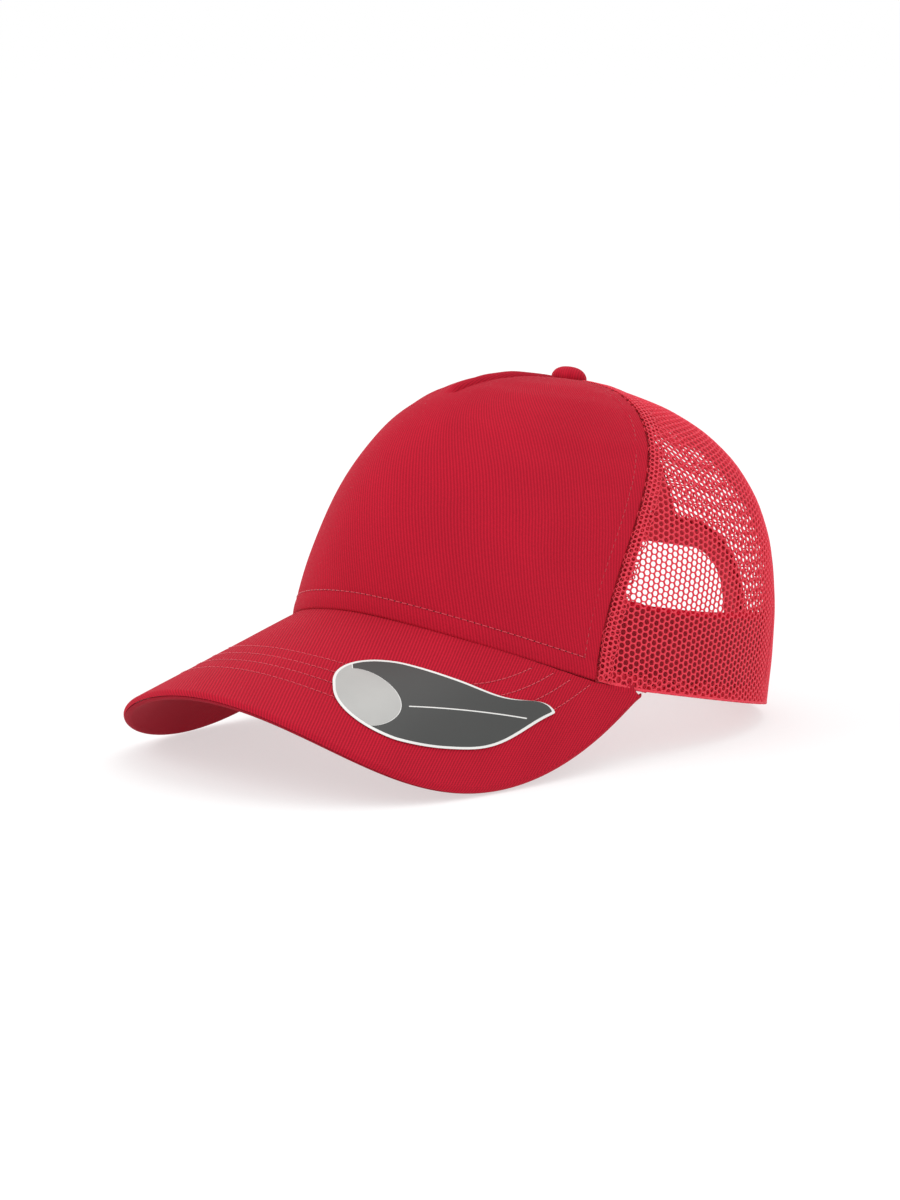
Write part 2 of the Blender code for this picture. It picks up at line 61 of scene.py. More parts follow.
TURN = 2 * math.pi
SIDES = ((1, "left"), (-1, "right"))

# Crown: the same surface as the frame's.
CROWN_HEIGHT = 110 * MM
HALF_WIDTH = 79 * MM
FRONT_REACH = 107 * MM
BACK_REACH = 94.5 * MM
PLAN_EXPONENT = 2.15
FRONT_NARROWING = 0.04
BUTTON_SHIFT = -2 * MM
LEAN = -0.034
TAPER = (0.80, -0.02, 0.0, 0.13)
RISE = (1.06, -0.14, 0.14, -0.50)
BUTTON_RING = 3 * MM
FRONT_SEAM = (63 * DEG, 88 * DEG)
SIDE_SEAM = (120 * DEG, 134 * DEG)
SEAM_GAP = 0.3 * MM

# Depths below the crown's outer face, and the trims that lie there.
TWILL = 0.9 * MM
NET = 0.85 * MM
TAPE_DEPTH = 2.3 * MM
TAPE = 0.5 * MM
TAPE_WIDTH = 12 * MM
TAPE_SECTOR = 19 * DEG
TAPE_HEM = 0.015
TAPE_TOP = 0.985
DART_START = 0.62
DART_POINT = 0.592
# The dart's section: each groove's or swell's place across, half width and depth.
DART_SECTION = ((0, 0.65 * MM, 1.3 * MM), (1.6 * MM, 2.2 * MM, 0.55 * MM), (-2.2 * MM, 1.6 * MM, -1.25 * MM))
FRONT_ROLL = 0.85 * MM
BAND_DEPTH = 3.9 * MM
BAND = 0.8 * MM
BAND_HEM = 0.004
BAND_TOP = 0.213
BAND_END = 150 * DEG
BAND_LENGTH = 480 * MM
BAND_HEIGHT = 33 * MM
BAND_SEAM = 3.2 * MM
LABEL_DEPTH = 5.1 * MM
LABEL_ANGLE = -138 * DEG
LABEL_HALF_TURN = 8 * DEG
LABEL_SHARES = (0.03, 0.27)
LABEL_SIZE = (22 * MM, 38 * MM)

# Visor.
VISOR_ANGLE = 75.3 * DEG
VISOR_END = 72 * DEG
VISOR_REACH_IN = 63.5 * DEG
VISOR_SEAM_HEIGHT = 13.5 * MM
VISOR_SLOPE = math.tan(25.6 * DEG)
VISOR_RADIUS = 82 * MM
VISOR_LENGTH = 71 * MM
VISOR_FULLNESS = 0.95
VISOR_FAN = 2.0
COVER = 0.8 * MM
PLY_GAP = 0.35 * MM
VISOR_STACK = 2 * COVER + 1.4 * MM + 2 * PLY_GAP
VISOR_CLEARANCE = 0.4 * MM
HEM_CLEARANCE = 1.1 * MM
RIM_INSET = 1.7 * MM
VISOR_TUCK = 1.3 * MM
VISOR_END_SHIFT = 2 * MM
VISOR_END_LIFT = 2 * MM
COVER_FACE = 0.6 * MM
ROW_DENT = 0.13 * MM
ROW_SINK = 0.12 * MM
VISOR_FLAT_SHARE = 0.88
VISOR_ROWS = (38.5 * MM, 32.6 * MM, 26.8 * MM, 20.4 * MM)

# Sticker.
STICKER_START = (27 * MM, 36.5 * MM)
STICKER_TIP = (84 * MM, -34 * MM)
STICKER_HALF_WIDTH = 17 * MM
STICKER_WIDEST = 0.264
STICKER_BLUNTNESS = 2.4
STICKER_BOW = (6 * MM, 12.3 * MM, 1.6 * MM)
STICKER_BOW_TOP = 0.52
STICKER = 0.3 * MM
STICKER_BORDER = 1.0 * MM
STICKER_PRINT = 0.06 * MM
DISC_SPLIT = 0.004
RULE_SPAN = (0.315, 0.865)
RULE_OFF = (13.4 * MM, 7.0 * MM)
RULE_WIDTH = 0.45 * MM

# Opening at the back, its binding and the strap.
ARCH_HALF_WIDTH = 25 * MM
ARCH_HEIGHT = 55.5 * MM
ARCH_CORNER = 14 * MM
ARCH_LIFT = 0.4 * MM
BINDING_WIDTH = 9.5 * MM
BINDING = 0.5 * MM
BINDING_OUTSIDE = -0.95 * MM
BINDING_INSIDE = 2.15 * MM
BINDING_SEAM = 7.6 * MM
BINDING_LENGTH = 170 * MM
STRAP_MIDDLE = 11.5 * MM
STRAP_HEIGHT = 20 * MM
STRAP = 1.2 * MM
STRAP_CORNER = 6 * MM
HOLED_DEPTH = 2.5 * MM
PEGGED_DEPTH = 4.0 * MM
STUD_PITCH = 8 * MM
STUD_COUNT = 5
FIRST_HOLE = -12 * MM
HOLE_RADIUS = 2.6 * MM
PEG_RADIUS = 1.75 * MM
PEG_HEIGHT = 2.0 * MM

# Button.
BUTTON_RADIUS = 6.5 * MM
BUTTON_HEIGHT = 4.1 * MM
BUTTON_CLOTH = 0.6 * MM
BUTTON_TURN_UNDER = 104 * DEG
BUTTON_PLEATS = 9
PLEAT_DEPTH = 0.22 * MM

# Net: staggered columns of rounded holes.
NET_COLUMN = 2.45 * MM
NET_ROW = 2.4 * MM
NET_STRAND = 0.58 * MM
SEAM_FOLD = 7.0 * MM
SIDE_FOLD = 3.4 * MM
HEM_FOLD = 5.8 * MM
HEM_EDGE = 0.95 * MM
NET_TOP = 0.972
NET_MARGIN = 0.8 * MM
FOLD_TOP = 0.965
FOLD = 0.7 * MM
FOLD_INSIDE = 1.05 * MM
FOLD_OUTSIDE = -0.65 * MM
ARCH_ROOM = 2.6 * MM
SWAY = 0.10 * MM
HEM_DROP = 0.95 * MM
HEM_DROP_HEIGHT = 7 * MM
HEM_DROP_FADE = 0.6 * MM

# Sewing.
STITCH_PITCH = 2.5 * MM
THREAD_RADIUS = 0.17 * MM
THREAD_SIDES = 6
STITCH_SINK = 0.14 * MM
NEEDLE_HOLE_LIFT = 0.035 * MM
NEEDLE_HOLE_DEPTH = 0.3 * MM
TOPSTITCH = 6 * MM

# Resting place and camera.
TILT = 11.6 * DEG
SIT = Vector((0, 44.6 * MM, 18.25 * MM))
PLACE = Matrix.Translation(SIT) @ Matrix.Rotation(-TILT, 4, "X")
VIEW_AZIMUTH = 39.6 * DEG
VIEW_ELEVATION = 10.5 * DEG
VIEW_ROLL = 1.0 * DEG
VIEW_DISTANCE = 1.5
VIEW_LENS = 119.3
VIEW_SHIFT = (-0.0713, 0.0589)


# ---- crown surface ----

def series(terms, phi):
    return sum(term * np.cos(order * phi) for order, term in enumerate(terms))


def join(*values):
    """Values side by side along a new last axis."""
    return np.stack(values, axis=-1)


def signed_power(value, power):
    return np.sign(value) * np.abs(value) ** power


def crown(phi, s):
    """Points on the crown's outer face: phi goes round from the front, s climbs to the button."""
    phi, s = np.broadcast_arrays(np.asarray(phi, float), np.asarray(s, float))
    power = 2 / PLAN_EXPONENT
    shrink = np.cos(s) ** series(TAPER, phi)
    reach = np.where(np.cos(phi) > 0, FRONT_REACH, BACK_REACH)
    width = HALF_WIDTH * (1 - FRONT_NARROWING * np.cos(phi))
    z = CROWN_HEIGHT * np.sin(s) ** series(RISE, phi)
    x = width * signed_power(np.sin(phi), power) * shrink
    y = -reach * signed_power(np.cos(phi), power) * shrink + BUTTON_SHIFT * (1 - shrink) + LEAN * z
    return join(x, y, z)


def unit(vectors):
    return vectors / np.linalg.norm(vectors, axis=-1, keepdims=True)


def inward(phi, s):
    """Unit normals into the crown."""
    turn = 0.004
    low = np.maximum(s - turn, 0.0005)
    high = np.minimum(s + turn, QUARTER - 0.0005)
    up = crown(phi, high) - crown(phi, low)
    along = crown(phi + turn, s) - crown(phi - turn, s)
    return unit(np.cross(up, along))


def climb_to_height(phi, z):
    return np.arcsin(np.clip(z / CROWN_HEIGHT, 0, 1) ** (1 / series(RISE, phi)))


def hem_height(phi):
    """The crown's lower edge: just above the visor in front, at z = 0 behind it."""
    z = np.zeros_like(phi)
    for _ in range(12):
        point = crown(phi, climb_to_height(phi, z))
        above = visor_top(point[..., 0], point[..., 1]) + HEM_CLEARANCE
        z = np.where(np.abs(phi) < VISOR_ANGLE, np.maximum(above, 0), 0)
    return z


def ring_climb(phi):
    hem = crown(phi, np.zeros_like(phi))
    radius = np.hypot(hem[..., 0], hem[..., 1])
    return np.arccos((BUTTON_RING / radius) ** (1 / series(TAPER, phi)))


def distances(points, axis):
    """Distance run along an axis of a grid of points."""
    steps = np.linalg.norm(np.diff(points, axis=axis), axis=-1)
    start = np.zeros_like(np.take(steps, [0], axis=axis))
    return np.concatenate((start, np.cumsum(steps, axis=axis)), axis=axis)


def read_table(table, across, up):
    """Values between those of a table, at shares from 0 to 1 of its two sides."""
    column = across * (len(table) - 1)
    row = up * (table.shape[1] - 1)
    i = np.clip(column.astype(int), 0, len(table) - 2)
    j = np.clip(row.astype(int), 0, table.shape[1] - 2)
    a = column - i
    b = row - j
    left = table[i, j] * (1 - b) + table[i, j + 1] * b
    right = table[i + 1, j] * (1 - b) + table[i + 1, j + 1] * b
    return left * (1 - a) + right * a


class CrownTable:
    """Climb, profile length and girth of the crown, read by angle and share of the way up."""

    def __init__(self, angles=1441, shares=201):
        self.phi = np.linspace(-math.pi, math.pi, angles)
        self.share = np.linspace(0, 1, shares)
        low = climb_to_height(self.phi, hem_height(self.phi))
        high = ring_climb(self.phi)
        cuts = (1 - np.cos(math.pi * np.linspace(0, 1, 241))) / 2
        climbs = low[:, None] + (high - low)[:, None] * cuts
        runs = distances(crown(self.phi[:, None], climbs), 1)
        self.length = runs[:, -1]
        self.climb = np.array([np.interp(self.share * run[-1], run, climb)
                               for run, climb in zip(runs, climbs)])
        below = low[:, None] * np.linspace(0, 1, 40)
        self.base = distances(crown(self.phi[:, None], below), 1)[:, -1]
        self.girth = distances(crown(self.phi[:, None], self.climb), 0)

    def read(self, table, phi, t):
        return read_table(table, (phi + math.pi) / TURN % 1, np.clip(t, 0, 1))

    def read_angle(self, table, phi):
        return np.interp((phi + math.pi) % TURN - math.pi, self.phi, table)

    def around(self, phi, t):
        """Distance round the crown at share t, from the back seam."""
        laps = np.floor((phi + math.pi) / TURN)
        whole = np.interp(np.clip(t, 0, 1), self.share, self.girth[-1])
        return self.read(self.girth, phi, t) + laps * whole

    def angle_at(self, distance, t, near):
        """The angle where a distance round the crown is reached, searched from a near one."""
        phi = near
        step = 0.004
        for _ in range(7):
            slope = (self.around(phi + step, t) - self.around(phi - step, t)) / (2 * step)
            phi = phi + np.clip((distance - self.around(phi, t)) / slope, -0.5, 0.5)
        return phi


def visor_top(x, y):
    """Height of the visor's top face."""
    sag = VISOR_RADIUS - np.sqrt(np.maximum(VISOR_RADIUS ** 2 - x ** 2, 0))
    return VISOR_SEAM_HEIGHT + (y + FRONT_REACH) * VISOR_SLOPE - sag


CROWN = CrownTable()


def shell(phi, t, depth=0.0):
    """Points a share t of the way up the crown's profile, at a depth below its face."""
    phi, t, depth = np.broadcast_arrays(np.asarray(phi, float), np.asarray(t, float),
                                        np.asarray(depth, float))
    s = CROWN.read(CROWN.climb, phi, t)
    return crown(phi, s) + inward(phi, s) * depth[..., None]


def settle(points, phi, up):
    """Lowers cloth near the hem onto the visor, where the visor is under it."""
    over_visor = np.clip(CROWN.read_angle(CROWN.base, phi) / HEM_DROP_FADE, 0, 1)
    points[..., 2] -= HEM_DROP * over_visor * np.clip(1 - up / HEM_DROP_HEIGHT, 0, 1) ** 2
    return points


def outward(phi, t):
    return -inward(phi, CROWN.read(CROWN.climb, phi, t))


def shifted(phi, t, distance):
    """The angle a distance further round the crown."""
    return CROWN.angle_at(CROWN.around(phi, t) + distance, t, phi)


def seam_angle(seam, t):
    return seam[0] + (seam[1] - seam[0]) * np.sin(QUARTER * np.clip(t, 0, 1)) ** 2


def front_edge(t):
    return seam_angle(FRONT_SEAM, t)


def side_edge(t):
    return seam_angle(SIDE_SEAM, t)


def back_edge(t):
    return np.full(np.shape(t), math.pi)


def mirrored(edge):
    return lambda t: -edge(t)


def back_angle(x, z):
    """The angle of a point on the back of the crown at a place across and a height."""
    x, z = np.broadcast_arrays(np.asarray(x, float), np.asarray(z, float))
    near = np.full(x.shape, 95 * DEG)
    far = np.full(x.shape, math.pi)
    for _ in range(40):
        middle = (near + far) / 2
        outside = crown(middle, climb_to_height(middle, z))[..., 0] > np.abs(x)
        near = np.where(outside, middle, near)
        far = np.where(outside, far, middle)
    return np.where(x < 0, -middle, middle)


def back_point(x, z, depth):
    phi = back_angle(x, z)
    s = climb_to_height(phi, np.broadcast_to(z, phi.shape))
    return crown(phi, s) + inward(phi, s) * np.broadcast_to(depth, phi.shape)[..., None]


# ---- visor surface ----

def visor_up(x):
    side = x / VISOR_RADIUS
    level = np.sqrt(1 - side ** 2)
    return unit(join(side, -level * VISOR_SLOPE, level))


def visor_point(across, forward, depth=0.0):
    x = VISOR_RADIUS * np.sin(across / VISOR_RADIUS)
    y = -FRONT_REACH - forward
    top = join(x, y, visor_top(x, y))
    return top - visor_up(x) * np.broadcast_to(depth, x.shape)[..., None]


def visor_seam(phi):
    z = np.zeros_like(phi)
    for _ in range(12):
        s = climb_to_height(phi, z)
        point = crown(phi, s) - inward(phi, s) * VISOR_CLEARANCE
        z = np.maximum(visor_top(point[..., 0], point[..., 1]), 0)
    return VISOR_RADIUS * np.arcsin(point[..., 0] / VISOR_RADIUS), -FRONT_REACH - point[..., 1]


def visor_length(phi):
    """Length of the visor from its seam to its edge."""
    return VISOR_LENGTH * np.cos(QUARTER * phi / VISOR_ANGLE) ** VISOR_FULLNESS


def visor_flat(phi, length):
    """Places across and forward, a length out from the seam."""
    across, forward = visor_seam(phi)
    return across + length * np.sin(VISOR_FAN * phi), forward + length * np.cos(VISOR_FAN * phi)


# ---- making pieces ----

def piece(name, corners, faces, finish, node=None, body="cap", slot="twill", flat=None, extra=None):
    """A mesh from cap-frame corners, in its resting place, riding a body."""
    mesh = bpy.data.meshes.new(name)
    mesh.from_pydata(np.asarray(corners, float).tolist(), [], [list(map(int, face)) for face in faces])
    mesh.transform(PLACE)
    mesh.shade_smooth()
    if flat is not None:
        layer = mesh.attributes.new("flat", "FLOAT_VECTOR", "POINT")
        places = np.zeros((len(corners), 3))
        places[:, :2] = np.asarray(flat) / MM
        layer.data.foreach_set("vector", places.ravel())
    mesh.materials.append(finish)
    if extra is not None:
        mesh.materials.append(extra[0])
        marks = np.zeros(len(faces), int)
        marks[extra[1]:] = 1
        mesh.polygons.foreach_set("material_index", marks)
    made = bpy.data.objects.new(name, mesh)
    bpy.context.scene.collection.objects.link(made)
    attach(made, body)
    if node:
        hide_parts(node)
    return made


def grid_faces(columns, rows):
    i, j = grid(np.arange(columns), np.arange(rows))
    first = i * (rows + 1) + j
    over = first + rows + 1
    return join(first, over, over + 1, first + 1)


def tube(index, inside_out=False):
    """Faces round rows of closed rings of corners, given by number, with a cap at each end."""
    onward = np.roll(index, -1, axis=-1)
    walls = (index[..., :-1, :], index[..., 1:, :], onward[..., 1:, :], onward[..., :-1, :])
    faces = np.stack(walls, axis=-1).reshape(-1, 4).tolist()
    for cap in (index[..., 0, :], index[..., -1, ::-1]):
        faces += cap.reshape(-1, index.shape[-1]).tolist()
    return [face[::-1] for face in faces] if inside_out else faces


def slab_faces(columns, rows):
    """Faces of two matching grids joined round their rims."""
    count = (columns + 1) * (rows + 1)
    index = np.arange(count).reshape(columns + 1, rows + 1)
    rim = np.concatenate((index[:, 0], index[-1, 1:], index[-2::-1, -1], index[0, -2:0:-1]))
    after = np.roll(rim, -1)
    faces = grid_faces(columns, rows)
    return np.concatenate((faces, count + faces[:, ::-1], join(after, rim, rim + count, after + count)))


def grid(first, second):
    """Each pair of two rows of values, as two long rows."""
    return (values.ravel() for values in np.meshgrid(first, second, indexing="ij"))


def crowded(steps, spans=1, pull=0.85):
    """Shares from 0 to 1 that crowd towards the ends of each of some equal spans."""
    share = np.linspace(0, 1, steps + 1)
    return share - pull * np.sin(spans * TURN * share) / (spans * TURN)


def slab(name, place, columns, rows, finish, flat=None, spans=1, pull=0.85, flip=False, **facts):
    """A closed layer of cloth. place(u, v, face) gives face 0, outside, and face 1, inside.

    flat gives the cloth's own flat places, as a function of u and v or as its two sides' lengths.
    """
    u, v = grid(crowded(columns, spans, pull), crowded(rows, 1, pull))
    corners = np.concatenate((place(u, v, 0), place(u, v, 1)))
    if flat is not None:
        places = flat(u, v) if callable(flat) else join(flat[0] * u, flat[1] * v)
        flat = np.concatenate((places, places))
    faces = slab_faces(columns, rows)[:, ::-1 if flip else 1]
    return piece(name, corners, faces, finish, flat=flat, **facts)


def rolled(distance, radius):
    """How deep a rolled edge lies, by the distance in from it."""
    near = np.clip(1 - distance / radius, 0, 1)
    return radius * (1 - np.sqrt(1 - near ** 2))


def bump(distance, width):
    return np.exp(-(distance / width) ** 2)


def smooth_step(value, start, end):
    share = np.clip((value - start) / (end - start), 0, 1)
    return share * share * (3 - 2 * share)


def drift(a, b, scale):
    """A smooth uneven value between -1 and 1 over a surface."""
    a = a / scale
    b = b / scale
    return (np.sin(1.7 * a + 1.3 * b + 0.4) + np.sin(2.9 * b - 1.1 * a + 2.1)
            + np.sin(2.3 * a + 4.1 * np.sin(0.6 * b) + 5.0)) / 3


def sew(name, path, normals, finish, pitch=STITCH_PITCH, hole=0.28 * MM, **facts):
    """A row of stitches along a line, each sinking into the cloth at its ends, and its needle holes, coloured
    near-black as painted shade.
    """
    runs = distances(path, 0)
    count = int(runs[-1] / pitch)
    shares = np.array((0.06, 0.16, 0.32, 0.5, 0.68, 0.84, 0.94))
    heights = np.array((-0.30, 0.02, 0.13, 0.16, 0.13, 0.02, -0.30)) * MM
    widths = np.array((0.5, 0.9, 1.0, 1.0, 1.0, 0.9, 0.5)) * THREAD_RADIUS
    at = (np.arange(count)[:, None] + shares) * pitch

    def read(values, where):
        return np.stack([np.interp(where, runs, values[:, axis]) for axis in range(3)], axis=-1)
    middle = read(path, at)
    up = unit(read(normals, at))
    side = unit(np.cross(np.gradient(middle, axis=1), up))
    turn = TURN * np.arange(THREAD_SIDES) / THREAD_SIDES
    ring = (up[:, :, None] * (heights[:, None] + widths[:, None] * np.cos(turn))[..., None]
            + side[:, :, None] * (widths[:, None] * np.sin(turn))[..., None])
    corners = (middle[:, :, None] + ring).reshape(-1, 3)
    faces = tube(np.arange(len(corners)).reshape(count, -1, THREAD_SIDES), True)
    threads = len(faces)
    start = len(corners)
    spots = np.arange(count + 1) * pitch
    middle = read(path, spots)
    up = unit(read(normals, spots))
    ahead = unit(np.gradient(middle, axis=0))
    side = np.cross(ahead, up)
    disc = ahead[:, None] * np.cos(turn)[:, None] + side[:, None] * np.sin(turn)[:, None]
    top = middle[:, None] + disc * hole + up[:, None] * NEEDLE_HOLE_LIFT
    bottom = middle[:, None] + disc * hole - up[:, None] * NEEDLE_HOLE_DEPTH
    corners = np.concatenate((corners, np.stack((top, bottom), axis=1).reshape(-1, 3)))
    faces += tube(np.arange(start, len(corners)).reshape(count + 1, 2, THREAD_SIDES), True)
    # the needle holes take the near-black finish: painted shade
    return piece(name, corners, faces, finish, extra=(NEEDLE_HOLE_SHADE, threads), **facts)


# ---- materials ----

class Finish:
    """A material in the making, its patterns laid in millimetres on flat cloth or in the object."""

    def __init__(self, name, color, roughness, flat=True, **values):
        self.material = bpy.data.materials.new(name)
        self.material.use_nodes = True
        self.material.diffuse_color = (*color, 1)
        self.color = color
        self.tree = self.material.node_tree
        self.shader = self.tree.nodes["Principled BSDF"]
        for key, value in {"base_color": (*color, 1), "roughness": roughness, **values}.items():
            self.shader.inputs[key.replace("_", " ").title().replace("Ior", "IOR")].default_value = value
        self.vector = None if flat is None else self.places(flat)

    def add(self, kind, inputs=None, **settings):
        made = self.tree.nodes.new(kind)
        for key, value in settings.items():
            setattr(made, key, value)
        for key, value in (inputs or {}).items():
            if isinstance(value, bpy.types.NodeSocket):
                self.tree.links.new(value, made.inputs[key])
            else:
                made.inputs[key].default_value = value
        return made

    def places(self, flat):
        if flat:
            return self.add("ShaderNodeAttribute", attribute_name="flat").outputs["Vector"]
        spot = self.add("ShaderNodeTexCoord").outputs["Object"]
        return self.add("ShaderNodeVectorMath", {0: spot, "Scale": 1 / MM}, operation="SCALE").outputs[0]

    def work(self, operation, *values):
        return self.add("ShaderNodeMath", dict(enumerate(values)), operation=operation).outputs[0]

    def times(self, first, second):
        return self.work("MULTIPLY", first, second)

    def mixed(self, *parts):
        """The sum of some values, each times its weight."""
        total = 0.0
        for value, weight in parts:
            total = self.work("MULTIPLY_ADD", value, weight, total)
        return total

    def noise(self, size, detail=2.0, vector=None):
        """A noise whose lumps are about size millimetres across."""
        inputs = {"Vector": vector or self.vector, "Scale": 1 / size, "Detail": detail}
        return self.add("ShaderNodeTexNoise", inputs).outputs["Fac"]

    def ribs(self, direction, pitch, wobble=0.0):
        """A wave from 0 to 1 across a direction."""
        across = (math.cos(direction) * TURN / pitch, math.sin(direction) * TURN / pitch, 0)
        inputs = {0: self.vector, 1: across}
        turned = self.add("ShaderNodeVectorMath", inputs, operation="DOT_PRODUCT").outputs["Value"]
        return self.work("MULTIPLY_ADD", self.work("SINE", self.work("ADD", turned, wobble)), 0.5, 0.5)

    def spread(self, value, low, high, start=0.0, end=1.0):
        inputs = {"Value": value, "From Min": start, "From Max": end, "To Min": low, "To Max": high}
        return self.add("ShaderNodeMapRange", inputs).outputs["Result"]

    def colored(self, factor, dark, light):
        """The material's colour, from a darker shade of it to a lighter one."""
        mix = self.add("ShaderNodeMix", {"Factor": factor}, data_type="RGBA")
        for key, amount in (("A_Color", dark), ("B_Color", light)):
            socket = next(s for s in mix.inputs if s.identifier == key)
            socket.default_value = (*shade(self.color, amount), 1)
        return next(s for s in mix.outputs if s.identifier == "Result_Color")

    def done(self, color, height, depth, roughness, strength=0.8):
        """Links the colour, the relief and the roughness: its factor, lowest and highest value."""
        relief = self.add("ShaderNodeBump", {"Height": height, "Distance": depth, "Strength": strength})
        for value, key in ((color, "Base Color"), (relief.outputs["Normal"], "Normal"),
                           (self.spread(*roughness), "Roughness")):
            self.tree.links.new(value, self.shader.inputs[key])
        return self.material


def shade(color, amount):
    return tuple(channel * amount for channel in color)


def twill(name, color, pitch, lean, depth, contrast=0.16):
    """Twill: fine ribs with yarn crossings, slubs and a soft uneven dye; the ribs' colour is painted lighter
    on the ridges and darker in the grooves as painted light and shade.
    """
    made = Finish(name, color, 0.85, sheen_weight=0.05, sheen_roughness=0.45, specular_ior_level=0.12,
                  sheen_tint=(1.0, 0.3, 0.35, 1))
    rib = made.ribs(lean, pitch, made.times(made.noise(9.0), 2.6))
    yarn = made.ribs(lean + 58 * DEG, pitch * 0.62)
    slub = made.noise(0.9, 3.0)
    woven = made.mixed((rib, 0.84), (yarn, 0.16))
    # painted light and shade: the colour follows the ribs' relief, lighter on the ridges and darker in the
    # grooves
    lit = made.colored(woven, 1 - contrast, 1 + contrast * 0.6)
    dye = made.spread(made.noise(26.0), 0.96, 1.04, 0.3, 0.7)
    dye = made.times(made.spread(slub, 0.92, 1.07, 0.3, 0.7), dye)
    toned = made.add("ShaderNodeVectorMath", {0: lit, 1: dye}, operation="MULTIPLY").outputs[0]
    return made.done(toned, made.mixed((woven, 1.0), (slub, 0.5)), depth, (slub, 0.78, 0.95))


def knit(name, color, depth=0.00016):
    """Knitted polyester: bright strands of fine filaments, the slanted bars painted lighter and the legs
    between them darker, as painted light and shade.
    """
    made = Finish(name, color, 0.6, sheen_weight=0.12, sheen_roughness=0.4, specular_ior_level=0.4,
                  sheen_tint=(1.0, 0.5, 0.55, 1))
    filament = made.ribs(20 * DEG, 0.21, made.times(made.noise(1.3), 9.0))
    slant = math.atan2(2 * NET_COLUMN, NET_ROW)
    pitch = NET_ROW / MM * math.sin(slant)
    bars = made.mixed(*((made.ribs(turn, pitch, -QUARTER), 1.0) for turn in (slant, -slant)))
    fuzz = made.noise(0.35, 3.0, made.places(False))
    # painted light and shade: bars lifts the colour on the slanted bars and darkens it on the legs; in the
    # height it is a real rise of the bars
    tone = made.mixed((filament, 0.32), (fuzz, 0.28), (bars, 0.24))
    height = made.mixed((tone, 1.0), (bars, 0.6))
    return made.done(made.colored(tone, 0.62, 1.08), height, depth, (fuzz, 0.5, 0.75))


def ribbon(name, color, pitch=0.9):
    """Woven tape: cross ribs with a fine warp."""
    made = Finish(name, color, 0.8, sheen_weight=0.2, sheen_roughness=0.5, specular_ior_level=0.3)
    cross = made.ribs(QUARTER, pitch, made.times(made.noise(5.0), 1.2))
    woven = made.mixed((cross, 0.65), (made.ribs(0.0, pitch * 0.45), 0.35))
    slub = made.noise(0.8, 3.0)
    height = made.mixed((woven, 1.0), (slub, 0.5))
    return made.done(made.colored(woven, 0.80, 1.12), height, 0.00014, (slub, 0.7, 0.92))


def fleece(name, color, size=0.6):
    """Unwoven backing: matted fibres with soft clumps."""
    made = Finish(name, color, 0.95, False, sheen_weight=0.15, sheen_roughness=0.5)
    fibres = made.noise(size, 6.0)
    clumped = made.times(made.times(fibres, made.noise(size * 9)), 3.0)
    return made.done(made.colored(clumped, 0.82, 1), fibres, 0.0002, (fibres, 0.88, 1.0))


def thread(name, color):
    """Sewing thread: twisted plies."""
    made = Finish(name, color, 0.55, False, sheen_weight=0.25, sheen_roughness=0.4)
    fuzz = made.noise(0.25)
    tone = made.mixed((made.ribs(50 * DEG, 0.34), 0.6), (fuzz, 0.4))
    return made.done(made.colored(tone, 0.72, 1.12), tone, 0.00008, (fuzz, 0.45, 0.65))


def moulded(name, color, roughness=0.38):
    """Moulded plastic: fine spark texture with rubbed, smoother patches."""
    made = Finish(name, color, roughness, False, specular_ior_level=0.5)
    rub = made.noise(7.0, 3.0)
    spread = (rub, roughness - 0.08, roughness + 0.16)
    return made.done(made.colored(rub, 0.90, 1.08), made.noise(0.28, 3.0), 0.00004, spread, 0.5)


def pressed_metal(name, color):
    """Pressed tinplate: fine rolling lines and faint scuffs."""
    made = Finish(name, color, 0.35, False, metallic=1.0)
    scuff = made.noise(1.2, 4.0)
    lines = made.ribs(12 * DEG, 0.3, made.times(made.noise(3.0), 6.0))
    return made.done(made.colored(made.times(lines, scuff), 0.8, 1), scuff, 0.00003, (scuff, 0.25, 0.5), 0.4)


def film(name, color, metallic, roughness):
    """Printed sticker film: faint orange peel, flecks and a soft unevenness."""
    made = Finish(name, color, roughness, False, metallic=metallic, coat_weight=0.12, coat_roughness=0.22)
    fleck = made.noise(0.22)
    cloud = made.noise(16.0)
    tone = made.mixed((fleck, 0.35), (cloud, 0.65))
    spread = (fleck, roughness - 0.05, roughness + 0.1)
    return made.done(made.colored(tone, 0.86, 1.12), cloud, 0.0004, spread, 0.35)


def satin(name, color):
    """Label ribbon: smooth fine satin."""
    made = Finish(name, color, 0.45, sheen_weight=0.2, sheen_roughness=0.3)
    fine = made.ribs(0.0, 0.25, made.times(made.noise(2.0), 3.0))
    tone = made.mixed((fine, 0.6), (made.ribs(QUARTER, 0.4), 0.4))
    return made.done(made.colored(tone, 0.9, 1), tone, 0.00008, (made.noise(3.0), 0.35, 0.6), 0.6)


RED = (0.47, 0.0085, 0.027)
NET_RED = (0.92, 0.040, 0.078)
FRONT_TWILL = twill("front_twill", RED, 1.15, 19 * DEG, 0.00012, 0.26)
VISOR_TWILL = twill("visor_twill", RED, 1.15, -33 * DEG, 0.00016, 0.34)
# painted shade: the visor's under cover is a darker copy of the crown's red, standing in for the shade under
# the visor
SHADED_UNDER_TWILL = twill("shaded_under_twill", shade(RED, 0.66), 1.15, 33 * DEG, 0.00014, 0.26)
BUTTON_TWILL = twill("button_twill", RED, 0.9, 30 * DEG, 0.00010, 0.22)
# painted light: the band's red is lifted well above the crown's to offset the shade inside the crown
LIT_BAND_TWILL = twill("lit_band_twill", (0.78, 0.013, 0.045), 0.9, 45 * DEG, 0.00012, 0.2)
KNIT = knit("net_knit", NET_RED)
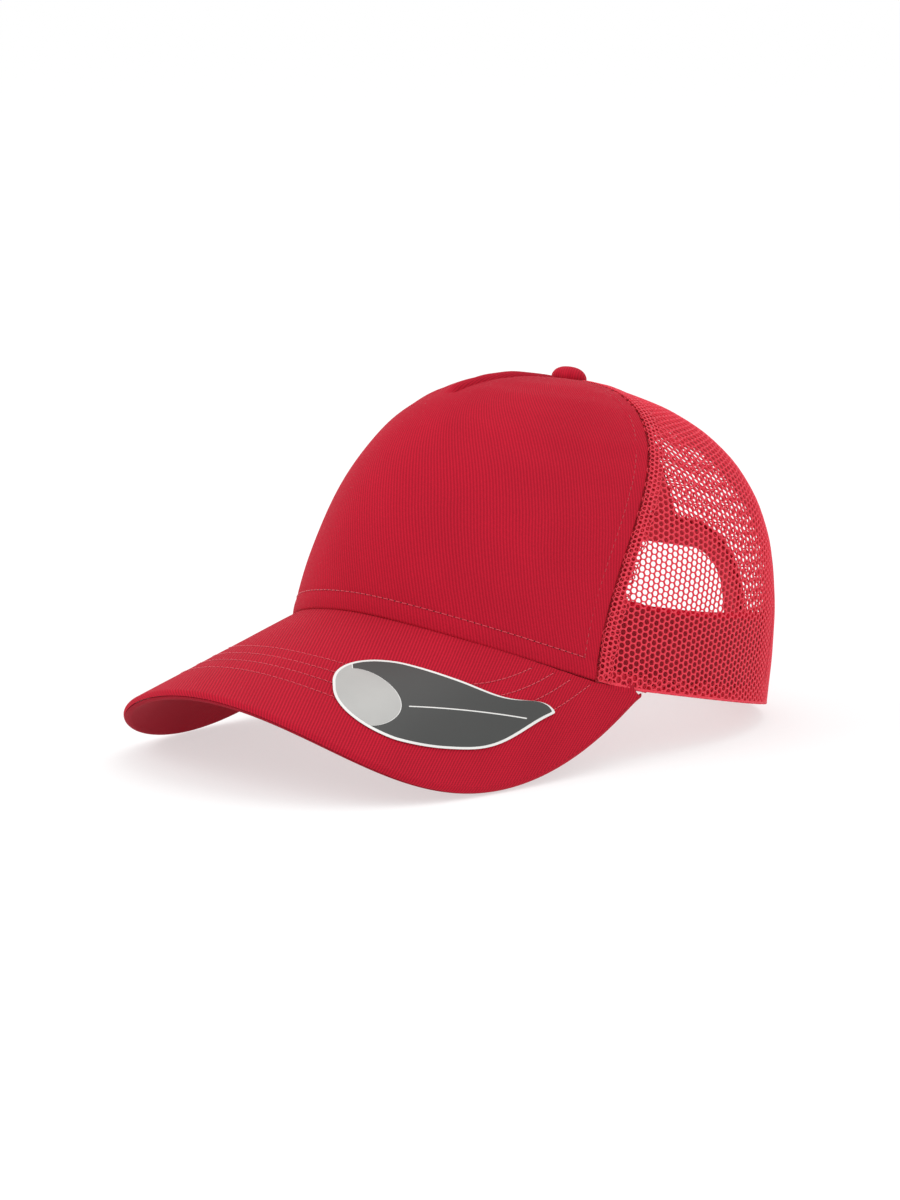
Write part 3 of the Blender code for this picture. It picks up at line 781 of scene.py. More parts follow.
# painted light: the tapes' red is lifted above the crown's to offset the shade inside the crown
LIT_RIBBON = ribbon("lit_seam_ribbon", (0.58, 0.011, 0.034))
THREAD = thread("sewing_thread", (0.72, 0.050, 0.085))
MATCHED_THREAD = thread("matched_thread", RED)
# painted shade: near-black walls in the needle holes stand in for the shade down in them
NEEDLE_HOLE_SHADE = fleece("needle_hole_shade", (0.045, 0.001, 0.003), 0.2)
FLEECE = fleece("white_backing", (0.74, 0.73, 0.70))
RED_FLEECE = fleece("red_interlining", shade(RED, 0.8))
BOARD_PLASTIC = moulded("board_plastic", (0.68, 0.68, 0.66), 0.5)
STRAP_PLASTIC = moulded("strap_plastic", (0.50, 0.010, 0.028))
METAL = pressed_metal("button_metal", (0.60, 0.60, 0.61))
FILM_SILVER = film("film_silver", (0.43, 0.43, 0.415), 0.35, 0.38)
FILM_PALE = film("film_pale", (0.78, 0.78, 0.76), 0.1, 0.35)
FILM_DARK = film("film_dark", (0.034, 0.036, 0.034), 0.0, 0.45)
SATIN = satin("label_satin", (0.80, 0.79, 0.76))


# ---- crown front ----

def front_panel():
    """The twill front: rolled edges, a dart running up to the button and a soft fullness."""
    def edges(t):
        last = shifted(front_edge(t), t, -SEAM_GAP / 2)
        return -last, last

    def place(u, v, face):
        first, last = edges(v)
        phi = first + (last - first) * u
        along = np.minimum(u, 1 - u) * (CROWN.around(last, v) - CROWN.around(first, v))
        up = v * CROWN.read_angle(CROWN.length, phi)
        off = CROWN.around(phi, v) - CROWN.around(0 * phi, v)
        if face:
            depth = np.full(u.shape, TWILL)
        else:
            dart = smooth_step(v, DART_POINT, DART_POINT + 0.03) * (1 - 0.6 * smooth_step(v, 0.8, 1.0))
            groove = sum(deep * bump(off - spot, width) for spot, width, deep in DART_SECTION)
            seam = bump(up - TOPSTITCH, 0.9 * MM) + bump(along - TOPSTITCH, 0.9 * MM)
            full = bump(up - 2.6 * MM, 2.2 * MM) + 0.6 * bump(along - 3.0 * MM, 2.0 * MM)
            waves = drift(CROWN.around(phi, v), up, 17 * MM) * smooth_step(up, 0, 20 * MM)
            depth = (np.maximum(rolled(along, FRONT_ROLL), rolled(up, FRONT_ROLL))
                     + dart * groove + 0.16 * MM * seam - 0.22 * MM * full - 0.18 * MM * waves)
        return settle(shell(phi, v, depth), phi, up)

    def flat(u, v):
        first, last = edges(v)
        phi = first + (last - first) * u
        across = CROWN.around(phi, v) - CROWN.around(0 * phi, v)
        up = v * CROWN.read_angle(CROWN.length, phi)
        taken_in = np.tanh(across / (18 * MM)) * np.maximum(up - 45 * MM, 0) ** 2 / (120 * MM)
        return join(across + taken_in, up)
    slab("front_cloth", place, 288, 170, FRONT_TWILL, flat, spans=2, node="front_panel")


def front_stitching():
    share = np.linspace(0, 1, 900)
    phi = (2 * share - 1) * 60 * DEG
    up = TOPSTITCH / CROWN.read_angle(CROWN.length, phi)
    sew("front_topstitch", shell(phi, up, STITCH_SINK), outward(phi, up), THREAD)
    t = np.linspace(0.035, 0.955, 900)
    for side, name in SIDES:
        phi = side * shifted(front_edge(t), t, -TOPSTITCH)
        sew(f"front_seam_stitch_{name}", shell(phi, t, STITCH_SINK), outward(phi, t), MATCHED_THREAD,
            hole=0.22 * MM)


# ---- net ----

def cell_outline():
    """A net cell's outline, half way across the strands, as flat places and their angles."""
    arm = NET_COLUMN / 3
    reach = NET_COLUMN - arm
    half = NET_ROW / 2
    corners = np.array(((reach, 0), (arm, half), (-arm, half), (-reach, 0), (-arm, -half), (arm, -half)))
    middles = (corners + np.roll(corners, -1, axis=0)) / 2
    outline = np.stack((corners, middles), axis=1).reshape(-1, 2)
    return outline, np.arctan2(outline[:, 1], outline[:, 0])


def on_cloth(u, v, centre, from_hem):
    """Angle and share of the way up for a place on flat cloth laid along a centre line."""
    t = np.full(u.shape, 0.3)
    phi = centre(t)
    for _ in range(6):
        start = 0 if from_hem else CROWN.read_angle(CROWN.base, phi)
        t = (v - start) / CROWN.read_angle(CROWN.length, phi)
        level = np.clip(t, 0, TAPE_TOP)
        phi = CROWN.angle_at(CROWN.around(centre(level), level) + u, level, centre(level))
    return phi, t


def net(name, centre, keep, size=1.0, strand=NET_STRAND, depth=0.0, thickness=NET, height=0.20,
        width=0.13, from_hem=False, **facts):
    """Knitted net: each cell is a ring of strand round its hole, sharing its outline with its neighbours."""
    outline, angle = cell_outline()
    outline = outline * size
    column = NET_COLUMN * size
    row = NET_ROW * size
    reach = math.ceil(width / column)
    i, j = grid(np.arange(-reach, reach + 1), np.arange(-1, math.ceil(height / row) + 1))
    u = i * column
    v = (j + (i % 2) / 2) * row
    kept = keep(u, v, *on_cloth(u, v, centre, from_hem))
    u = u[kept]
    v = v[kept]
    hole_x = column / 2 - strand / 2 + 0.09 * MM
    hole_y = row / 2 - strand * 0.42
    hole = join(np.cos(angle), np.sin(angle))
    power = 2.5
    radius = (np.abs(hole / (hole_x, hole_y)) ** power).sum(axis=-1) ** (-1 / power)
    hole *= radius[:, None]
    bar = np.abs(outline[:, 0]) < 0.1 * column
    rings = []
    # Each loop's share of the way from the outline to the hole, and through the net.
    for share, level in ((0, 0), (0.6, 0.13), (1, 0.5), (0.6, 0.87), (0, 1)):
        flat = outline + (hole - outline) * share
        sink = level + (0.22 if level < 0.5 else -0.1) * bar * (1 - share)
        rings.append(np.column_stack((flat, sink * thickness)))
    cell = np.array(rings)
    points = (cell + join(u, v, 0 * u)[:, None, None]).reshape(-1, 3)
    loops, sides = cell.shape[:2]
    ring = np.tile(np.repeat(np.arange(loops), sides), len(u))
    # Corners that neighbouring cells share fall on one spot of a fine grid.
    key = np.column_stack((np.round((points[:, :2] + 0.0037 * MM) / (0.05 * MM)), ring)).astype(int)
    _, first, index = np.unique(key, axis=0, return_index=True, return_inverse=True)
    index = index.reshape(len(u), loops, sides)
    points = points[first]
    onward = np.roll(index, -1, axis=2)
    faces = join(index[:, :-1], onward[:, :-1], onward[:, 1:], index[:, 1:]).reshape(-1, 4)
    start, end = index[:, 0].ravel(), onward[:, 0].ravel()
    back, back_on = index[:, -1].ravel(), onward[:, -1].ravel()
    total = len(points)
    open_edges = ~np.isin(start * total + end, end * total + start)
    faces = np.concatenate((faces, join(end, start, back, back_on)[open_edges]))
    u = points[:, 0] + SWAY * drift(points[:, 0], points[:, 1], 2.6 * MM)
    v = points[:, 1] + SWAY * drift(points[:, 1], points[:, 0], 3.1 * MM)
    phi, t = on_cloth(u, v, centre, from_hem)
    t = np.clip(t, 0, 1)
    ripple = SWAY * drift(u, v, 9 * MM)
    up = t * CROWN.read_angle(CROWN.length, phi)
    corners = settle(shell(phi, t, depth + points[:, 2] + ripple), phi, up)
    return piece(name, corners, faces, KNIT, slot="net", flat=join(u, v) / size, **facts)


def between(left, right):
    """Keeps cells between two edges, up to the net's top and round the arch."""
    def keep(u, v, phi, t):
        level = np.clip(t, 0, 1)
        here = CROWN.around(phi, level)
        from_left = here - CROWN.around(left(level), level)
        to_right = CROWN.around(right(level), level) - here
        inside = (np.minimum(from_left, to_right) > NET_MARGIN) & (v > -NET_ROW)
        return inside & (t > -0.006) & (t < NET_TOP) & ~near_arch(phi, t, ARCH_ROOM)
    return keep


def near_arch(phi, t, room):
    """Whether places lie in the arch's opening or within some room of it."""
    point = shell(phi, np.clip(t, 0, 1))
    x = np.abs(point[..., 0]) - (ARCH_HALF_WIDTH - ARCH_CORNER)
    z = point[..., 2] - (ARCH_HEIGHT + ARCH_LIFT - ARCH_CORNER)
    corner = np.hypot(np.maximum(x, 0), np.maximum(z, 0)) - ARCH_CORNER
    distance = np.where((x > 0) & (z > 0), corner, np.maximum(x, z) - ARCH_CORNER)
    return (point[..., 1] > 0) & (distance < room)


def halfway(left, right):
    return lambda t: (left(t) + right(t)) / 2


def net_panels():
    for name, fore, aft in (("side", front_edge, side_edge), ("back", side_edge, back_edge)):
        for word, left, right in (("left", fore, aft), ("right", mirrored(aft), mirrored(fore))):
            net(f"{name}_net_{word}", halfway(left, right), between(left, right),
                node=f"{name}_mesh_{word}")


def fold(name, edge, width, side, depth):
    """The net's allowance turned back along a seam: a narrow second layer."""
    def line(t):
        return shifted(edge(t), t, side * (width / 2 - 0.1 * MM))

    def keep(u, v, phi, t):
        inside = (np.abs(u) < width / 2 - 0.5 * MM) & (t > 0) & (t < FOLD_TOP)
        return inside & ~near_arch(phi, t, MM)
    net(name, line, keep, size=0.80, strand=0.68 * MM, depth=depth, thickness=FOLD,
        width=width, from_hem=True)


def net_folds():
    edges = front_edge, side_edge, back_edge
    for side, name in SIDES:
        front, rear, back = edges if side > 0 else map(mirrored, edges)
        fold(f"front_seam_fold_{name}", front, SEAM_FOLD, side, FOLD_OUTSIDE)
        fold(f"side_seam_fold_{name}_front", rear, SIDE_FOLD, -side, FOLD_INSIDE)
        fold(f"side_seam_fold_{name}_rear", rear, SIDE_FOLD, side, FOLD_INSIDE)
        fold(f"back_seam_fold_{name}", back, SIDE_FOLD, -side, FOLD_INSIDE)
        hem_fold(f"hem_fold_{name}", side)
        hem_edge(f"hem_edge_{name}", side)


def hem_fold(name, side):
    """The net turned up round the hem, from the front seam to the arch."""
    centre = side * 110 * DEG

    def keep(u, v, phi, t):
        level = np.clip(t, 0, 1)
        from_seam = side * (CROWN.around(phi, level) - CROWN.around(side * front_edge(level), level))
        within = (from_seam > NET_MARGIN) & (np.abs(phi) < math.pi) & (v < HEM_FOLD) & (v > -0.4 * MM)
        return within & ~near_arch(phi, t, ARCH_ROOM)
    net(name, lambda t: np.full(np.shape(t), centre), keep, size=0.86, strand=0.72 * MM, depth=1.35 * MM,
        thickness=FOLD, height=HEM_FOLD, width=0.2, from_hem=True)


def hem_edge(name, side):
    """The rolled lower edge of the net, from the front seam to the arch."""
    first = FRONT_SEAM[0] + 0.4 * DEG
    last = float(back_angle(ARCH_HALF_WIDTH + BINDING_WIDTH - MM, 0))

    def place(u, v, face):
        phi = side * (first + (last - first) * u)
        up = v * HEM_EDGE
        edge = rolled(np.minimum(up, HEM_EDGE - up), 0.46 * MM)
        wave = 0.07 * MM * np.sin(u * 520) + 0.05 * MM * drift(u * 140 * MM, up, 2 * MM)
        depth = 1.0 * MM - edge if face else edge - 0.06 * MM + wave
        return settle(shell(phi, up / CROWN.read_angle(CROWN.length, phi), depth), phi, up)
    slab(name, place, 900, 8, KNIT, (150 * MM, HEM_EDGE), flip=side < 0, slot="net")


# ---- tapes, sweatband and label ----

def tape(name, angle, low=TAPE_HEM, high=TAPE_TOP):
    """A woven strip over a seam inside the crown, with a row of stitches near each edge."""
    def span(t):
        phi = angle(t)
        middle = shell(phi, t)
        radius = np.hypot(middle[..., 0], middle[..., 1] - BUTTON_SHIFT)
        return phi, np.minimum(TAPE_WIDTH / 2, radius * math.tan(TAPE_SECTOR))

    def place(u, v, face):
        t = low + (high - low) * v
        phi, half = span(t)
        off = half * (2 * u - 1)
        edge = rolled(half - np.abs(off), 0.45 * TAPE)
        crease = 0.10 * MM * bump(off, 0.6 * MM)
        depth = TAPE_DEPTH + (TAPE - edge - crease if face else edge)
        return shell(shifted(phi, t, off), t, depth)

    def flat(u, v):
        t = low + (high - low) * v
        return join(TAPE_WIDTH * (u - 0.5), t * CROWN.read_angle(CROWN.length, angle(t)))
    # the tape takes the lifted red: painted light inside the crown
    slab(name.replace("tape", "ribbon"), place, 14, 150, LIT_RIBBON, flat, node=name, slot="tape")
    t = np.linspace(low + 0.01, high - 0.06, 500)
    phi, half = span(t)
    for side, word in ((-1, "a"), (1, "b")):
        line = shifted(phi, t, side * (half - 1.4 * MM))
        points = shell(line, t, TAPE_DEPTH + TAPE)
        sew(f"{name}_stitch_{word}", points, -outward(line, t), THREAD, slot="tape")


def tapes():
    tape("dart_tape", lambda t: 0 * t, DART_START)
    for seam, edge in (("front_seam_tape", front_edge), ("side_seam_tape", side_edge)):
        tape(f"{seam}_left", edge)
        tape(f"{seam}_right", mirrored(edge))
    above_arch = climb_to_height(math.pi, ARCH_HEIGHT + ARCH_LIFT + BINDING_WIDTH + 0.3 * MM)
    start = np.interp(above_arch, CROWN.climb[0], CROWN.share)
    tape("back_seam_tape", back_edge, start)
    for side, name in SIDES:
        visor_end_strip(f"visor_end_strip_{name}", side)


def visor_end_strip(name, side):
    """The visor's seam allowance standing inside the net where the visor runs out."""
    def place(u, v, face):
        turn = FRONT_SEAM[0] + (VISOR_END + 2 * DEG - FRONT_SEAM[0]) * u
        stand = np.clip((v - 0.25) / 0.75, 0, 1)
        depth = np.interp(v, (0, 0.25), (0.12 * MM, 0.98 * MM))
        points = shell(side * turn, 0.03 * stand, depth + (0.3 * MM if face else 0))
        lift = smooth_step(turn, VISOR_END - DEG, VISOR_END + DEG)
        points[..., 2] -= np.interp(v, (0, 0.25, 1), (1.35 * MM, 1.0 * MM, 0)) * (1 - lift)
        return points
    slab(name, place, 30, 6, LIT_RIBBON, (18 * MM, 4 * MM), flip=side < 0, slot="tape")


def band_point(phi, v, depth):
    points = shell(phi, BAND_HEM + (BAND_TOP - BAND_HEM) * v, depth)
    points[..., 2] -= (1 - v) * np.minimum(hem_height(phi), VISOR_STACK)
    return points


def sweatband():
    """A thin twill band with a folded top edge, sewn along it."""
    def place(u, v, face):
        phi = BAND_END * (2 * u - 1)
        up = np.minimum(v, 1 - v) * BAND_HEIGHT
        ends = np.minimum(u, 1 - u) * BAND_LENGTH
        edge = np.maximum(rolled(up, BAND / 2), rolled(ends, BAND / 2))
        full = 0.5 * MM * smooth_step(up, 0.5 * MM, 6 * MM)
        seam = 0.25 * MM * bump((1 - v) * BAND_HEIGHT - BAND_SEAM, 0.8 * MM)
        pucker = 0.12 * MM * drift(phi * 90 * MM, v * BAND_HEIGHT, 3.5 * MM)
        depth = BAND_DEPTH + (BAND - edge + full - seam + pucker if face else edge)
        return band_point(phi, v, depth)

    def flat(u, v):
        return join(BAND_LENGTH * (u - 0.5), BAND_HEIGHT * v)
    # the band takes the lifted red: painted light against the shade inside the crown
    slab("sweatband_cloth", place, 420, 30, LIT_BAND_TWILL, flat, node="sweatband")
    phi = np.linspace(-BAND_END * 0.99, BAND_END * 0.99, 2400)
    v = np.full(phi.shape, 1 - BAND_SEAM / BAND_HEIGHT)
    share = BAND_HEM + (BAND_TOP - BAND_HEM) * v
    sew("sweatband_stitch", band_point(phi, v, BAND_DEPTH + BAND + 0.25 * MM), -outward(phi, share), THREAD)


def care_label():
    """A blank satin label, its free lower corner curling off the band."""
    def place(u, v, face):
        phi = LABEL_ANGLE + LABEL_HALF_TURN * (2 * u - 1)
        t = LABEL_SHARES[0] + (LABEL_SHARES[1] - LABEL_SHARES[0]) * v
        curl = 2.2 * MM * ((1 - v) * u) ** 3
        wave = 0.2 * MM * np.sin(5 * u + 3 * v)
        return shell(phi, t, LABEL_DEPTH + curl + wave + 0.4 * MM + (0.3 * MM if face else 0))
    slab("care_label_satin", place, 20, 28, SATIN, LABEL_SIZE, node="care_label", slot="label")


# ---- visor ----

def rim_frame(phi):
    """Edge of the visor's top face, with the directions out of its rim and up."""
    turn = 0.01
    before, edge, after = (visor_point(*visor_flat(angle, visor_length(angle)))
                           for angle in (phi - turn, phi, phi + turn))
    along = unit(after - before)
    out = unit(np.cross(along, visor_up(edge[..., 0])))
    return edge, out, np.cross(out, along)


def visor_ply(name, top, node):
    """A twill cover of the visor, wrapped round its rim to meet the other one at mid-thickness."""
    half = VISOR_STACK / 2
    tuck = VISOR_TUCK if top else 0.0

    def lengths(phi, v):
        reach = visor_length(phi) - RIM_INSET
        return -tuck + (reach + tuck) * np.minimum(v / VISOR_FLAT_SHARE, 1)

    def place(u, v, face):
        phi = VISOR_END * (2 * u - 1)
        length = lengths(phi, v)
        across, forward = visor_flat(phi, length)
        end = np.clip((np.abs(phi) - VISOR_REACH_IN) / (VISOR_END - VISOR_REACH_IN), 0, 1)
        from_seam = length + tuck
        drawn_in = VISOR_END_SHIFT * end * np.clip(1 - from_seam / (3 * MM), 0, 1)
        across = across - np.sign(phi) * drawn_in
        from_edge = visor_length(phi) - length
        depth = np.zeros(u.shape)
        for row in VISOR_ROWS:
            depth += ROW_DENT * bump(from_edge - row, 0.8 * MM)
        depth += 0.07 * MM * drift(across, forward, 13 * MM)
        level = COVER_FACE if face else 0.0
        layer = level + depth if top else VISOR_STACK - level - depth
        points = visor_point(across, forward, layer)
        points[..., 2] += VISOR_END_LIFT * end ** 4 * np.clip(1 - from_seam / (5 * MM), 0, 1)
        edge, out, up = rim_frame(phi)
        turn = np.clip((v - VISOR_FLAT_SHARE) / (1 - VISOR_FLAT_SHARE), 0, 1) * 86 * DEG
        wide = (RIM_INSET - level) * np.sin(turn) - RIM_INSET
        tall = (half - level) * np.cos(turn) * (1 if top else -1) - half
        round_points = edge + out * wide[:, None] + up * tall[:, None]
        return np.where((v > VISOR_FLAT_SHARE)[:, None], round_points, points)

    def flat(u, v):
        phi = VISOR_END * (2 * u - 1)
        across, forward = visor_flat(phi, lengths(phi, v))
        beyond = np.clip(v - VISOR_FLAT_SHARE, 0, 1) / (1 - VISOR_FLAT_SHARE) * 3.2 * MM
        across = across + beyond * np.sin(VISOR_FAN * phi)
        return join(across, forward + beyond * np.cos(VISOR_FAN * phi))
    # The under cover takes the darker twill: painted shade under the visor.
    finish = VISOR_TWILL if top else SHADED_UNDER_TWILL
    slab(name, place, 260, 150, finish, flat, pull=0, flip=top, node=node)


def visor_stitching():
    for number, row in enumerate(VISOR_ROWS, 1):
        end = VISOR_ANGLE / QUARTER * math.acos((row / VISOR_LENGTH) ** (1 / VISOR_FULLNESS))
        phi = np.linspace(-end * 0.985, end * 0.985, 1200)
        across, forward = visor_flat(phi, visor_length(phi) - row)
        for word, side, depth in (("top", 1, ROW_SINK), ("under", -1, VISOR_STACK - ROW_SINK)):
            path = visor_point(across, forward, depth)
            sew(f"visor_stitch_{word}_{number}", path, side * visor_up(path[:, 0]), THREAD, hole=0.2 * MM)


def from_sticker_line(reach, off):
    """Places across and forward, a reach along the sticker's line and off to its side."""
    run = np.subtract(STICKER_TIP, STICKER_START)
    ahead = run / np.hypot(*run)
    return (STICKER_START[0] + ahead[0] * reach - ahead[1] * off,
            STICKER_START[1] + ahead[1] * reach + ahead[0] * off)


def leaf(along, side, inset):
    """Flat places on the sticker's leaf. side goes from 1, its outer edge, to -1, its inner one."""
    length = math.dist(STICKER_START, STICKER_TIP)
    before_widest = np.clip(1 - along / STICKER_WIDEST, 0, 1)
    rising = (1 - before_widest ** STICKER_BLUNTNESS) ** (1 / STICKER_BLUNTNESS)
    narrowing = np.clip((along - STICKER_WIDEST) / (1 - STICKER_WIDEST), 0, 1)
    half = (STICKER_HALF_WIDTH - inset) * rising * (1 - narrowing ** 1.25) ** 0.75
    start, top, end = STICKER_BOW
    before = np.sin(QUARTER * np.clip(along / STICKER_BOW_TOP, 0, 1)) ** 1.1
    after = np.clip((along - STICKER_BOW_TOP) / (1 - STICKER_BOW_TOP), 0, 1)
    fall = (1 - np.cos(math.pi * after ** 1.75)) / 2
    off = start + (top - start) * before + (end - top) * fall + half * side
    return from_sticker_line(inset + along * (length - 2.6 * inset), off)


def sticker_layer(name, start, end, inset, level, finish, node=None):
    """A film over part of the leaf, between two shares of its length given by side."""
    def place(u, v, face):
        side = 1 - 2 * v
        first = start(side)
        along = first + (end(side) - first) * (1 - np.cos(math.pi * u)) / 2
        across, forward = leaf(np.clip(along, 0.0008, 0.9992), side, inset)
        return visor_point(across, forward, (0.1 * MM if face else 0) - level)
    slab(name, place, 100, 40, finish, slot="sticker", node=node)


def sticker():
    """A plain sticker: pale border, dark field, a silver blunt end and one thin rule."""
    def disc(side):
        return np.maximum(0.281 - 0.2 * (side - 0.2) ** 2, 0.075)

    def low(side):
        return np.zeros_like(side)

    def high(side):
        return np.ones_like(side)
    base = PLY_GAP + STICKER / 2
    print_level = base + STICKER_PRINT
    sticker_layer("sticker_border", low, high, 0, base, FILM_PALE, "visor_sticker")
    sticker_layer("sticker_field", disc, high, STICKER_BORDER, print_level, FILM_DARK)
    sticker_layer("sticker_disc", low, lambda side: disc(side) - DISC_SPLIT, STICKER_BORDER, print_level,
                  FILM_SILVER)

    def rule(u, v, face):
        reach = np.interp(u, (0, 1), RULE_SPAN) * math.dist(STICKER_START, STICKER_TIP)
        off = np.interp(u, (0, 1), RULE_OFF) + RULE_WIDTH * (0.5 - v)
        across, forward = from_sticker_line(reach, off)
        return visor_point(across, forward, -print_level - (0.01 * MM if face else 0.05 * MM))
    slab("sticker_rule", rule, 60, 3, FILM_PALE, slot="sticker")


# ---- arch binding, strap and button ----

def arch_line(share):
    """Places across and up along the arch, with the direction away from the opening."""
    level = ARCH_HALF_WIDTH - ARCH_CORNER
    bend = QUARTER * ARCH_CORNER
    straight = ARCH_HEIGHT - ARCH_CORNER
    run = np.abs(2 * share - 1) * (level + bend + straight)
    angle = np.clip((run - level) / ARCH_CORNER, 0, QUARTER)
    x = np.minimum(run, level) + ARCH_CORNER * np.sin(angle)
    z = straight + ARCH_CORNER * np.cos(angle) - np.clip(run - level - bend, 0, None)
    side = np.where(share < 0.5, -1, 1)
    return side * x, z, side * np.sin(angle), np.cos(angle)


def binding_profile(steps=12):
    """The folded tape's section as a closed loop of width and depth."""
    fold_radius = (BINDING_INSIDE - BINDING_OUTSIDE) / 2
    centre = (BINDING_INSIDE + BINDING_OUTSIDE) / 2
    widths = np.linspace(BINDING_WIDTH, fold_radius, 10)
    turns = np.linspace(-QUARTER, QUARTER, steps + 2)[1:-1]
    line = [(w, BINDING_OUTSIDE, 0, -1) for w in widths]
    line += [(fold_radius * (1 - math.cos(t)), centre + fold_radius * math.sin(t), -math.cos(t), math.sin(t))
             for t in turns]
    line += [(w, BINDING_INSIDE, 0, 1) for w in widths[::-1]]
    line = np.array(line)
    half = BINDING / 2
    outer = line[:, :2] + line[:, 2:] * half
    inner = line[:, :2] - line[:, 2:] * half
    end = BINDING_WIDTH + half * 0.7
    return np.concatenate((outer, ((end, BINDING_INSIDE),), inner[::-1], ((end, BINDING_OUTSIDE),)))


def arch_binding():
    profile = binding_profile()
    steps = 190
    share = np.linspace(0, 1, steps + 1)
    x, z, out_x, out_z = arch_line(share)
    width, depth = profile.T
    ripple = 0.10 * MM * np.sin(share * 260)[:, None] * smooth_step(width, 2 * MM, 8 * MM)
    corners = back_point(x[:, None] + out_x[:, None] * width, z[:, None] + out_z[:, None] * width + ARCH_LIFT,
                         depth + ripple)
    faces = tube(np.arange((steps + 1) * len(profile)).reshape(steps + 1, -1))
    around_section = distances(profile, 0)
    flat = join(*np.broadcast_arrays(around_section, share[:, None] * BINDING_LENGTH)).reshape(-1, 2)
    piece("arch_binding_cloth", corners.reshape(-1, 3), faces, LIT_RIBBON, node="arch_binding", slot="tape",
          flat=flat)
    share = np.linspace(0.01, 0.99, 900)
    x, z, out_x, out_z = arch_line(share)
    for word, depth in (("outside", BINDING_OUTSIDE - BINDING / 2), ("inside", BINDING_INSIDE + BINDING / 2)):
        path = back_point(x + out_x * BINDING_SEAM, z + out_z * BINDING_SEAM + ARCH_LIFT, depth)
        deeper = back_point(x + out_x * BINDING_SEAM, z + out_z * BINDING_SEAM + ARCH_LIFT, depth + MM)
        normals = unit(path - deeper) if word == "outside" else unit(deeper - path)
        sew(f"arch_stitch_{word}", path, normals, THREAD, slot="tape")


def plate_with_holes(left, right, tip, holes):
    """Flat quads of a strap in across and up, with a rounded tip and round holes."""
    step = 0.5 * MM
    columns = round((right - left) / step)
    rows = round(STRAP_HEIGHT / step)
    x, v = grid(np.linspace(left, right, columns + 1), np.linspace(-1, 1, rows + 1))
    near = np.minimum(np.abs(x - tip), STRAP_CORNER)
    half = STRAP_HEIGHT / 2 - STRAP_CORNER + np.sqrt(STRAP_CORNER ** 2 - (STRAP_CORNER - near) ** 2)
    flat = join(x, half * v)
    faces = grid_faces(columns, rows)
    for hole in holes:
        off = flat - (hole, 0)
        far = np.hypot(off[:, 0], off[:, 1])
        middle = flat[faces].mean(axis=1) - (hole, 0)
        faces = faces[np.hypot(middle[:, 0], middle[:, 1]) > HOLE_RADIUS]
        used = np.unique(faces)
        rim = used[np.abs(far[used] - HOLE_RADIUS) < 0.62 * step]
        flat[rim] = (hole, 0) + off[rim] * (HOLE_RADIUS / far[rim])[:, None]
    used = np.unique(faces)
    order = np.zeros(len(flat), int)
    order[used] = np.arange(len(used))
    return flat[used], order[faces]


def strap(name, node, body, root, tip, depth, holes):
    """A moulded strap: a bevelled plate with round holes; the raised beads round them are studs of their own.
    """
    flat, faces = plate_with_holes(min(root, tip), max(root, tip), tip, holes)
    corners = back_point(flat[:, 0], STRAP_MIDDLE + flat[:, 1], depth)
    made = piece(name, corners, faces, STRAP_PLASTIC, node=node, body=body, slot="strap", flat=flat)
    thicken = made.modifiers.new("Thickness", "SOLIDIFY")
    thicken.thickness = STRAP
    thicken.offset = -1
    edges = made.modifiers.new("Edges", "BEVEL")
    edges.width = 0.25 * MM
    edges.segments = 2
    edges.limit_method = "ANGLE"
    edges.angle_limit = 50 * DEG
    return made


def studs(name, body, first, depth, profile, ends=True):
    """A row of turned studs, or of ring-shaped beads, standing square to the strap."""
    corners = []
    faces = []
    sides = 28
    turn = TURN * np.arange(sides) / sides
    for number in range(STUD_COUNT):
        x = np.array([first + number * STUD_PITCH])
        foot = back_point(x, STRAP_MIDDLE, depth)[0]
        up = unit(foot - back_point(x, STRAP_MIDDLE, depth + MM)[0])
        side = unit(np.cross(up, (0, 0, 1)))
        ring = side * np.cos(turn)[:, None] + np.cross(side, up) * np.sin(turn)[:, None]
        start = len(corners) * sides
        corners += [foot + up * height + ring * radius for radius, height in profile]
        index = np.arange(start, len(corners) * sides).reshape(-1, sides)
        faces += tube(index) if ends else tube(np.concatenate((index, index[:1])), True)[:-2]
    piece(name, np.concatenate(corners), faces, STRAP_PLASTIC, body=body, slot="strap")


def straps():
    holes = [FIRST_HOLE + number * STUD_PITCH for number in range(STUD_COUNT)]
    strap("holed_strap_plate", "strap_holes", "holed_strap", 27.5 * MM, -17 * MM, HOLED_DEPTH, holes)
    strap("pegged_strap_plate", "strap_pegs", "pegged_strap", -38 * MM, 17 * MM, PEGGED_DEPTH, ())
    bead = [(HOLE_RADIUS + 0.1 * MM + 0.45 * MM * (1 - math.cos(a)), 0.28 * MM * math.sin(a))
            for a in np.linspace(0, TURN, 13)[:-1]]
    studs("strap_hole_beads", "holed_strap", FIRST_HOLE, HOLED_DEPTH, bead, ends=False)
    radius = PEG_RADIUS
    peg = [(radius + 0.5 * MM, -0.1 * MM), (radius + 0.28 * MM, 0.06 * MM), (radius, 0.3 * MM)]
    peg += [(radius * 0.97, PEG_HEIGHT * 0.5), (radius * 1.05, PEG_HEIGHT * 0.66)]
    peg += [(radius * 1.05 * math.cos(a), PEG_HEIGHT * (0.7 + 0.3 * math.sin(a)))
            for a in np.linspace(0, QUARTER * 0.94, 7)]
    studs("strap_peg_row", "pegged_strap", FIRST_HOLE - STUD_PITCH, PEGGED_DEPTH, peg)


